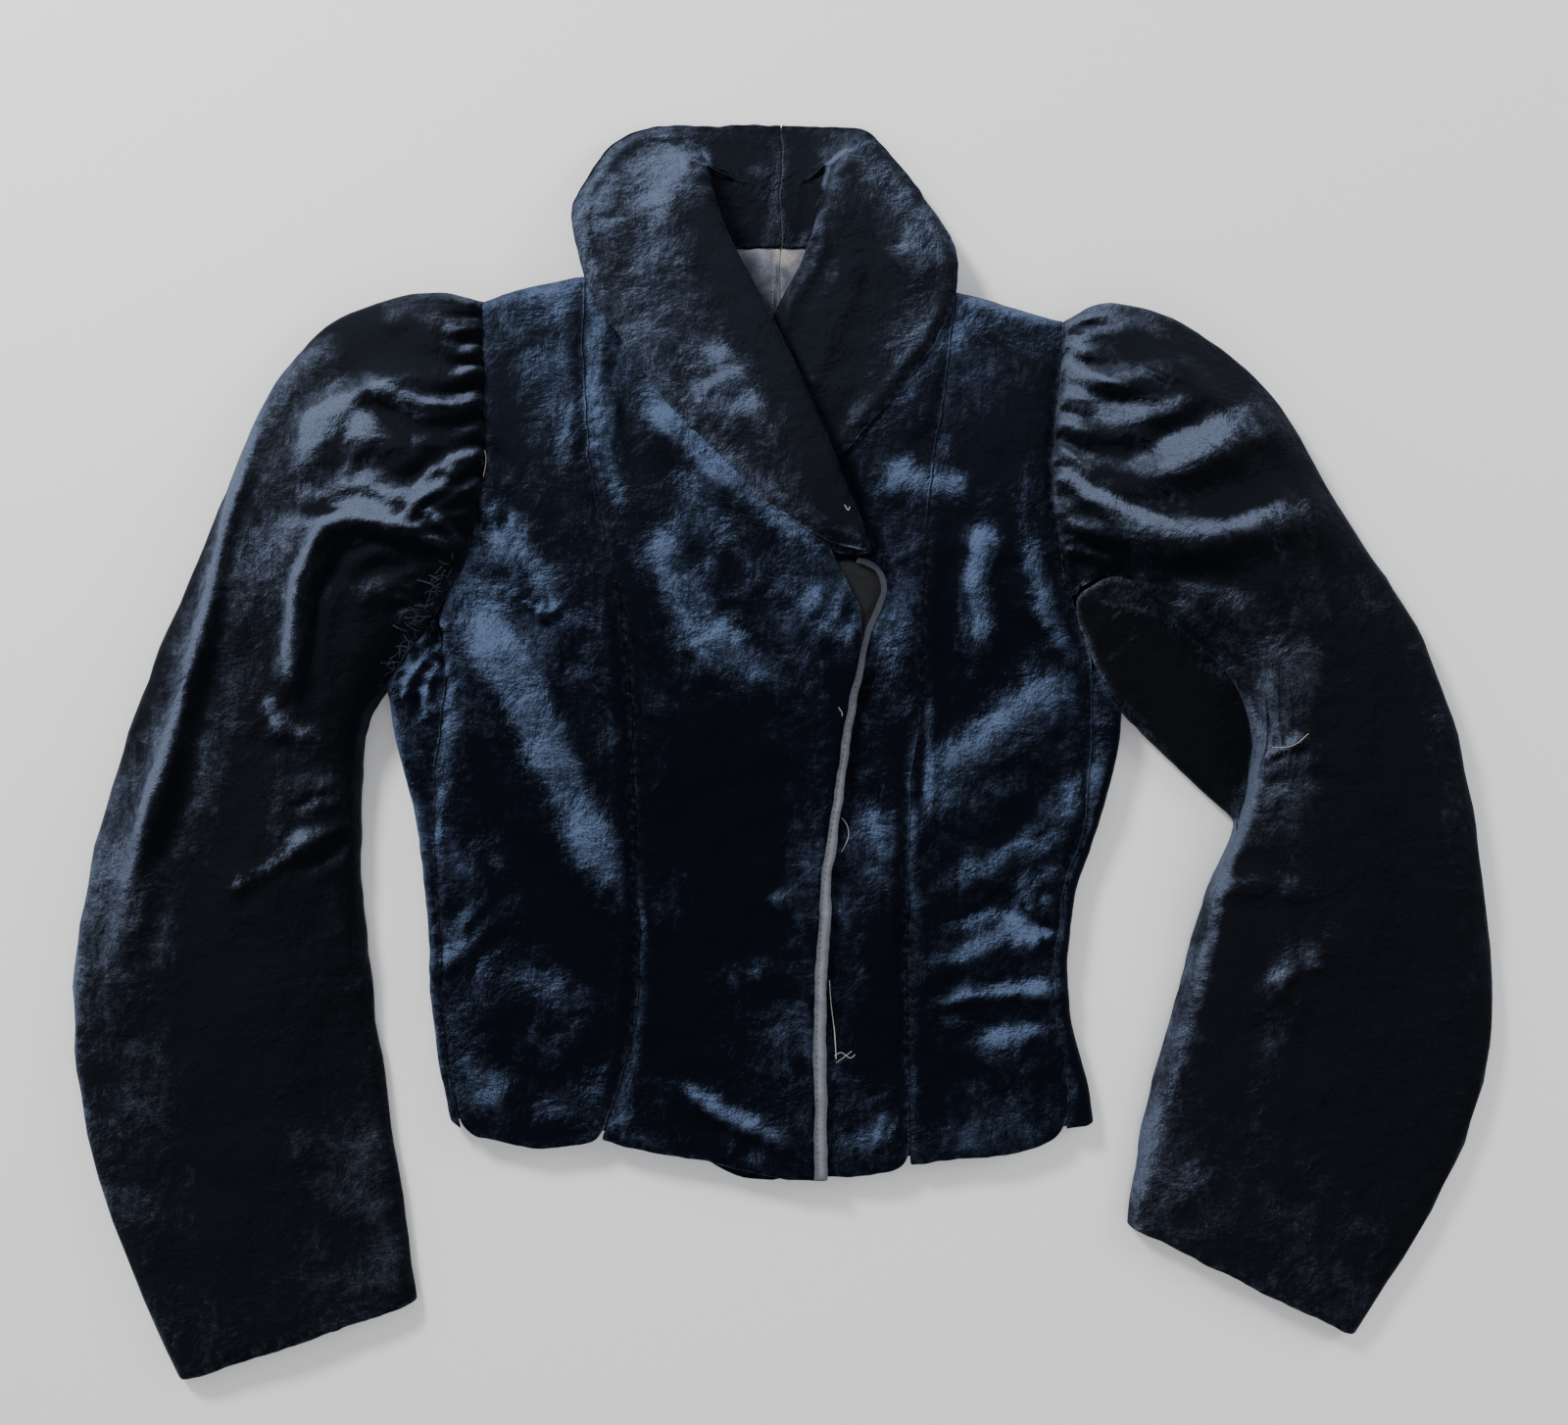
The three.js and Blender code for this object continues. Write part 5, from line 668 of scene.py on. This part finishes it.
def ranged(tree, value, low, high, to_low=0.0, to_high=1.0):
    made = add(tree, "ShaderNodeMapRange", interpolation_type="SMOOTHSTEP")
    tree.links.new(value, made.inputs["Value"])
    made.inputs["From Min"].default_value = low
    made.inputs["From Max"].default_value = high
    made.inputs["To Min"].default_value = to_low
    made.inputs["To Max"].default_value = to_high
    return made.outputs["Result"]


def sums(tree, operation, a, b):
    made = add(tree, "ShaderNodeMath", operation=operation)
    for socket, value in zip(made.inputs, (a, b)):
        if isinstance(value, (int, float)):
            socket.default_value = value
        else:
            tree.links.new(value, socket)
    return made.outputs[0]


def mixed(tree, share, a, b):
    made = add(tree, "ShaderNodeMix", data_type="RGBA")
    tree.links.new(share, made.inputs[0])
    for socket, value in ((made.inputs[6], a), (made.inputs[7], b)):
        if isinstance(value, tuple):
            socket.default_value = (*value, 1)
        else:
            tree.links.new(value, socket)
    return made.outputs[2]


def bumped(tree, height, distance, strength, below=None):
    made = add(tree, "ShaderNodeBump")
    made.inputs["Distance"].default_value = distance
    made.inputs["Strength"].default_value = strength
    tree.links.new(height, made.inputs["Height"])
    if below is not None:
        tree.links.new(below, made.inputs["Normal"])
    return made.outputs["Normal"]


def velvet():
    material, tree, shader = new_material("velvet")
    # Crushed-nap shine mixed with painted highlights and painted shade from the strokes
    marks_and_painted_light = add(tree, "ShaderNodeAttribute", attribute_name="marks_and_painted_light").outputs["Fac"]
    edge = add(tree, "ShaderNodeAttribute", attribute_name="edge").outputs["Fac"]
    large = noise_at(tree, 40, 5, 0.62, 0.35)
    small = noise_at(tree, 150, 6, 0.74, 0.5)
    streak = noise_at(tree, 230, 5, 0.7, 0.3, (1, 0.3, 1))
    grain = ranged(tree, noise_at(tree, 900, 3, 0.85), 0.28, 0.74, 0.30, 1.40)
    field = ranged(tree, noise_at(tree, 11, 3, 0.5, 0.3), 0.38, 0.72, 0.06, 0.44)
    first = bumped(tree, large, 0.0055, 0.6)
    second = bumped(tree, noise_at(tree, 190, 5, 0.7, 0.4), 0.0010, 0.55, first)
    third = bumped(tree, noise_at(tree, 1500, 2, 0.6), 0.00025, 0.5, second)
    # Painted light: surfaces turned up and to the left, towards the key light, are painted brighter
    painted_light_facing = add(tree, "ShaderNodeVectorMath", operation="DOT_PRODUCT")
    tree.links.new(second, painted_light_facing.inputs[0])
    painted_light_facing.inputs[1].default_value = (-0.62, 0.78, 0.0)
    painted_lit_slope = ranged(tree, painted_light_facing.outputs["Value"], -0.06, 0.55, 0.0, 0.85)
    # Painted shade on surfaces turned away from the key light
    away = ranged(tree, painted_light_facing.outputs["Value"], -0.36, 0.0, 0.12, 1.0)
    level = sums(tree, "MAXIMUM", sums(tree, "MULTIPLY", marks_and_painted_light, 0.72), field)
    level = sums(tree, "ADD", level, sums(tree, "MULTIPLY", sums(tree, "MINIMUM", marks_and_painted_light, 0.0), 0.8))
    level = sums(tree, "ADD", level, sums(tree, "MULTIPLY", painted_lit_slope, sums(tree, "ADD", 0.65, marks_and_painted_light)))
    level = sums(tree, "ADD", level, sums(tree, "MULTIPLY", sums(tree, "SUBTRACT", large, 0.5), 1.1))
    level = sums(tree, "ADD", level, sums(tree, "MULTIPLY", sums(tree, "SUBTRACT", small, 0.5), 1.0))
    level = sums(tree, "ADD", level, sums(tree, "MULTIPLY", sums(tree, "SUBTRACT", streak, 0.5), 0.6))
    soft = ranged(tree, level, 0.18, 1.1, 0.0, 0.50)
    crisp = ranged(tree, level, 0.60, 1.40, 0.0, 0.75)
    both = sums(tree, "MULTIPLY", sums(tree, "MULTIPLY", sums(tree, "ADD", soft, crisp), grain), away)
    tone = add(tree, "ShaderNodeAttribute", attribute_name="tone").outputs["Fac"]
    deep = mixed(tree, tone, (0.0013, 0.0014, 0.0021), (0.0007, 0.0012, 0.0036))
    shine = mixed(tree, tone, (0.082, 0.096, 0.132), (0.070, 0.098, 0.166))
    # Painted glare: the dark colour made paler except where the surface turns away from the key light
    painted_glare = add(tree, "ShaderNodeAttribute", attribute_name="painted_glare").outputs["Fac"]
    base = mixed(tree, both, mixed(tree, sums(tree, "MULTIPLY", painted_glare, away), deep, (0.0135, 0.0165, 0.0245)), shine)
    worn = sums(tree, "MULTIPLY", edge, ranged(tree, noise_at(tree, 240, 4, 0.7), 0.45, 0.72, 0.0, 0.30))
    base = mixed(tree, worn, base, (0.050, 0.062, 0.090))
    tree.links.new(base, shader.inputs["Base Color"])
    shader.inputs["Roughness"].default_value = 0.78
    shader.inputs["Specular IOR Level"].default_value = 0.04
    shader.inputs["Sheen Weight"].default_value = 0.10
    shader.inputs["Sheen Roughness"].default_value = 0.30
    shader.inputs["Sheen Tint"].default_value = (0.40, 0.54, 0.85, 1)
    tree.links.new(third, shader.inputs["Normal"])
    return material


def woven(name, dark, light, worn_colour, pitch, slant, roughness):
    """A plain or twill cloth: two sets of yarn lines, mottled colour and paler worn edges."""
    material, tree, shader = new_material(name)
    place = add(tree, "ShaderNodeTexCoord")
    yarns = []
    for turn in (slant, slant + math.pi / 2):
        move = add(tree, "ShaderNodeMapping")
        move.inputs["Rotation"].default_value = (0, 0, turn)
        tree.links.new(place.outputs["Object"], move.inputs["Vector"])
        wave = add(tree, "ShaderNodeTexWave", wave_type="BANDS", bands_direction="X")
        wave.inputs["Scale"].default_value = 0.314 / pitch
        wave.inputs["Distortion"].default_value = 0.8
        wave.inputs["Detail"].default_value = 2
        tree.links.new(move.outputs["Vector"], wave.inputs["Vector"])
        yarns.append(wave.outputs["Fac"])
    weave = sums(tree, "MULTIPLY", yarns[0], sums(tree, "ADD", sums(tree, "MULTIPLY", yarns[1], 0.5), 0.5))
    stain = ranged(tree, noise_at(tree, 90, 5, 0.65, 0.6), 0.3, 0.72)
    colour = mixed(tree, stain, dark, light)
    colour = mixed(tree, sums(tree, "MULTIPLY", weave, 0.35), colour, worn_colour)
    edge = add(tree, "ShaderNodeAttribute", attribute_name="edge").outputs["Fac"]
    colour = mixed(tree, sums(tree, "MULTIPLY", edge, 0.3), colour, worn_colour)
    if name == "tape":
        tone = add(tree, "ShaderNodeAttribute", attribute_name="tone").outputs["Fac"]
        colour = mixed(tree, sums(tree, "ADD", tone, 0.12), (0.010, 0.013, 0.022), colour)
        # Painted shade: the tape's edges darkened as if rolled under
        colour = mixed(tree, sums(tree, "MULTIPLY", edge, 0.85), colour, (0.020, 0.024, 0.036))
    if name == "lining":
        mark = add(tree, "ShaderNodeAttribute", attribute_name="marks_and_painted_light").outputs["Fac"]
        shade = sums(tree, "MULTIPLY", sums(tree, "MINIMUM", mark, 0.0), -0.9)
        spilt = sums(tree, "MULTIPLY", sums(tree, "MAXIMUM", mark, 0.0), sums(tree, "ADD", stain, 0.25))
        colour = mixed(tree, spilt, mixed(tree, shade, colour, (0.012, 0.013, 0.022)), (0.40, 0.35, 0.28))
    tree.links.new(colour, shader.inputs["Base Color"])
    shader.inputs["Roughness"].default_value = roughness
    shader.inputs["Specular IOR Level"].default_value = 0.25
    shader.inputs["Sheen Weight"].default_value = 0.15
    tree.links.new(bumped(tree, weave, 0.0003, 0.6, bumped(tree, stain, 0.0012, 0.5)), shader.inputs["Normal"])
    return material


VELVET = velvet()
MATERIALS = {
    "velvet": VELVET,
    "tape": woven("tape", (0.11, 0.115, 0.13), (0.21, 0.215, 0.235), (0.36, 0.36, 0.38), 0.0007, 0.8, 0.85),
    "facing": woven("facing", (0.001, 0.001, 0.0015), (0.004, 0.004, 0.005), (0.007, 0.007, 0.009), 0.0006, 0.2, 0.9),
    "lining": woven("lining", (0.045, 0.050, 0.078), (0.150, 0.160, 0.215), (0.25, 0.26, 0.28), 0.0004, 0.0, 0.45),
}
DARK_THREAD = woven("dark_thread", (0.004, 0.005, 0.009), (0.010, 0.012, 0.02), (0.03, 0.03, 0.04), 0.0003, 0.5, 0.8)
FRAYED_THREAD = woven("frayed_thread", (0.006, 0.009, 0.018), (0.028, 0.038, 0.066), (0.06, 0.075, 0.11), 0.0003, 0.5, 0.8)
THREAD = woven("thread", (0.30, 0.29, 0.26), (0.52, 0.50, 0.46), (0.60, 0.58, 0.54), 0.0003, 0.5, 0.8)


# The cloth

made = {}
for number, (node, layer, levels, slot, width, length, area) in enumerate(CLOTH):
    piece = add_piece("cloth_" + node, wall_from(node), MATERIALS[slot])
    tree = rim_tree(piece.data)
    mesh = smoothed(piece, levels)
    shaped(mesh, layer, tree, number)
    made[node] = piece
    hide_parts(node)
    print(node, "triangles", sum(len(p.vertices) - 2 for p in mesh.polygons))


# Stitches and loose threads

def top_surface():
    points, faces = [], []
    for piece in made.values():
        start = len(points)
        points += [v.co.copy() for v in piece.data.vertices]
        faces += [[start + i for i in p.vertices] for p in piece.data.polygons]
    return BVHTree.FromPolygons(points, faces)


def height_at(surface, x, y):
    hit = surface.ray_cast(Vector((x, y, 0.2)), Vector((0, 0, -1)))[0]
    return hit.z if hit else 0.0


def tube(points, radius, sides=6):
    """The corners and faces of a closed round thread along the points."""
    corners, faces = [], []
    for i, point in enumerate(points):
        way = (points[min(i + 1, len(points) - 1)] - points[max(i - 1, 0)]).normalized()
        across = way.cross(Vector((0, 0, 1)))
        across = across.normalized() if across.length > 1e-6 else Vector((1, 0, 0))
        up = across.cross(way)
        for s in range(sides):
            turn = 2 * math.pi * s / sides
            corners.append(point + radius * (math.cos(turn) * across + math.sin(turn) * up))
    for i in range(len(points) - 1):
        for s in range(sides):
            t = (s + 1) % sides
            faces.append([i * sides + s, i * sides + t, (i + 1) * sides + t, (i + 1) * sides + s])
    faces.append(list(range(sides))[::-1])
    faces.append([(len(points) - 1) * sides + s for s in range(sides)])
    return corners, faces


def joined(tubes):
    corners, faces = [], []
    for some, around in tubes:
        start = len(corners)
        corners += some
        faces += [[start + i for i in face] for face in around]
    mesh = bpy.data.meshes.new("threads")
    mesh.from_pydata([tuple(c) for c in corners], [], faces)
    for polygon in mesh.polygons:
        polygon.use_smooth = True
    write_values(mesh, "edge", np.zeros(len(corners)))
    return mesh


def laid_thread(surface, line, lift, radius, steps=12):
    """A thread laid on the cloth along a line of points in mm, smoothed between them."""
    knots = [Vector((x * MM, y * MM, 0)) for x, y in line]
    points = []
    for i in range(len(knots) - 1):
        before, after = knots[max(i - 1, 0)], knots[min(i + 2, len(knots) - 1)]
        for s in range(steps + (i == len(knots) - 2)):
            t = s / steps
            a, b = knots[i], knots[i + 1]
            spot = 0.5 * (
                2 * a
                + (b - before) * t
                + (2 * before - 5 * a + 4 * b - after) * t * t
                + (3 * a - before - 3 * b + after) * t * t * t
            )
            spot.z = height_at(surface, spot.x, spot.y) + lift
            points.append(spot)
    return tube(points, radius)


def stitches_along(surface, line, every, length, radius):
    """Short stitches along a line of points in mm, each dipping into the cloth at its ends."""
    ends = np.array(line, float)
    steps = np.hypot(*(ends[1:] - ends[:-1]).T)
    before = np.concatenate(([0], np.cumsum(steps)))
    tubes = []
    at = every * 0.5
    while at + length < before[-1]:
        points = []
        for s in range(5):
            along_it = at + length * s / 4
            i = min(int(np.searchsorted(before, along_it, "right")) - 1, len(steps) - 1)
            x, y = ends[i] + (ends[i + 1] - ends[i]) * (along_it - before[i]) / steps[i]
            z = height_at(surface, x * MM, y * MM)
            lift = radius * (0.9 - 2.0 * (abs(s - 2) / 2) ** 2)
            points.append(Vector((x * MM, y * MM, z + lift)))
        tubes.append(tube(points, radius))
        at += every * (0.9 + 0.2 * random.random())
    return tubes


TAPE_SEAM = [(20.3, -246), (19.4, -171), (22.4, -87), (31.6, -19), (41.0, 34.7), (47.1, 64.7)]
random.seed(7)
surface = top_surface()
tape_stitches = stitches_along(surface, TAPE_SEAM, 3.6, 1.6, 0.00014)
add_piece("tape_stitches", joined(tape_stitches), DARK_THREAD)
lining_stitches = stitches_along(surface, [(-5, 293), (-6, 274), (-6, 256)], 2.6, 1.6, 0.00014)
add_piece("lining_stitches", joined(lining_stitches), THREAD)
threads = [laid_thread(surface, line, 0.0003, radius) for line, radius in [
    ([(34, -38), (37, -42), (38, -49), (34, -58)], 0.00018),
    ([(30, -177), (34, -175), (39, -178), (42, -176)], 0.0002),
    ([(31, -181), (35, -178), (40, -174)], 0.00016),
    ([(-173, 175), (-172, 168), (-174, 158)], 0.00022),
    ([(27, -133), (28, -147), (30, -163), (31, -179)], 0.00025),
    ([(35, 141), (37, 138), (38, 140)], 0.00022),
    ([(32, 26), (34, 23), (34, 21)], 0.00018),
    ([(281, 3), (291, 4), (301, 11)], 0.0002),
]]
add_piece("loose_threads", joined(threads), THREAD)

# The torn seam below the right arm: start, way in degrees and length in mm of each frayed thread
fray = random.Random(23)
frayed = []
for i in range(46):
    share = i / 45
    x, y = -192 - 36 * share**1.3 + fray.uniform(-3, 3), 112 - 64 * share + fray.uniform(-3, 3)
    turn = math.radians(fray.uniform(150, 265))
    length = fray.uniform(3, 9)
    bend = turn + fray.uniform(-0.9, 0.9)
    middle = (x + 0.5 * length * math.cos(turn), y + 0.5 * length * math.sin(turn))
    end = (middle[0] + 0.5 * length * math.cos(bend), middle[1] + 0.5 * length * math.sin(bend))
    frayed.append(laid_thread(surface, [(x, y), middle, end], 0.0004, fray.uniform(0.00012, 0.0003), 5))
add_piece("frayed_threads", joined(frayed), FRAYED_THREAD)


# Floor, light and camera

floor_mesh = bpy.data.meshes.new("floor")
floor_mesh.from_pydata([(-3, -3, -0.0004), (3, -3, -0.0004), (3, 3, -0.0004), (-3, 3, -0.0004)], [], [(0, 1, 2, 3)])
floor = bpy.data.objects.new("floor", floor_mesh)
bpy.context.scene.collection.objects.link(floor)
floor_material, _, floor_shader = new_material("floor")
floor_shader.inputs["Base Color"].default_value = (0.80, 0.79, 0.77, 1)
floor_shader.inputs["Roughness"].default_value = 0.9
floor_mesh.materials.append(floor_material)


def soft_light(name, at, size, power, colour):
    data = bpy.data.lights.new(name, "AREA")
    data.shape = "DISK"
    data.size = size
    data.energy = power
    data.color = colour
    light = bpy.data.objects.new(name, data)
    light.location = at
    light.rotation_euler = (-Vector(at)).to_track_quat("-Z", "Y").to_euler()
    bpy.context.scene.collection.objects.link(light)


soft_light("key", (-1.0, 1.3, 1.15), 0.45, 46, (0.97, 0.98, 1.0))
soft_light("side", (1.6, 0.6, 0.9), 0.8, 14, (0.95, 0.97, 1.0))
soft_light("front", (0.2, -1.6, 1.4), 1.2, 9, (1.0, 0.99, 0.97))

world = bpy.data.worlds.new("studio")
world.use_nodes = True
world.node_tree.nodes["Background"].inputs["Color"].default_value = (0.90, 0.93, 1.0, 1)
world.node_tree.nodes["Background"].inputs["Strength"].default_value = 0.7
bpy.context.scene.world = world

camera_data = bpy.data.cameras.new("camera")
camera_data.sensor_width = 36
camera_data.lens = 36 * CAMERA_AT[2] / PICTURE_WIDTH
camera_data.clip_start = 0.01
camera = bpy.data.objects.new("camera", camera_data)
camera.location = CAMERA_AT
bpy.context.scene.collection.objects.link(camera)
bpy.context.scene.camera = camera
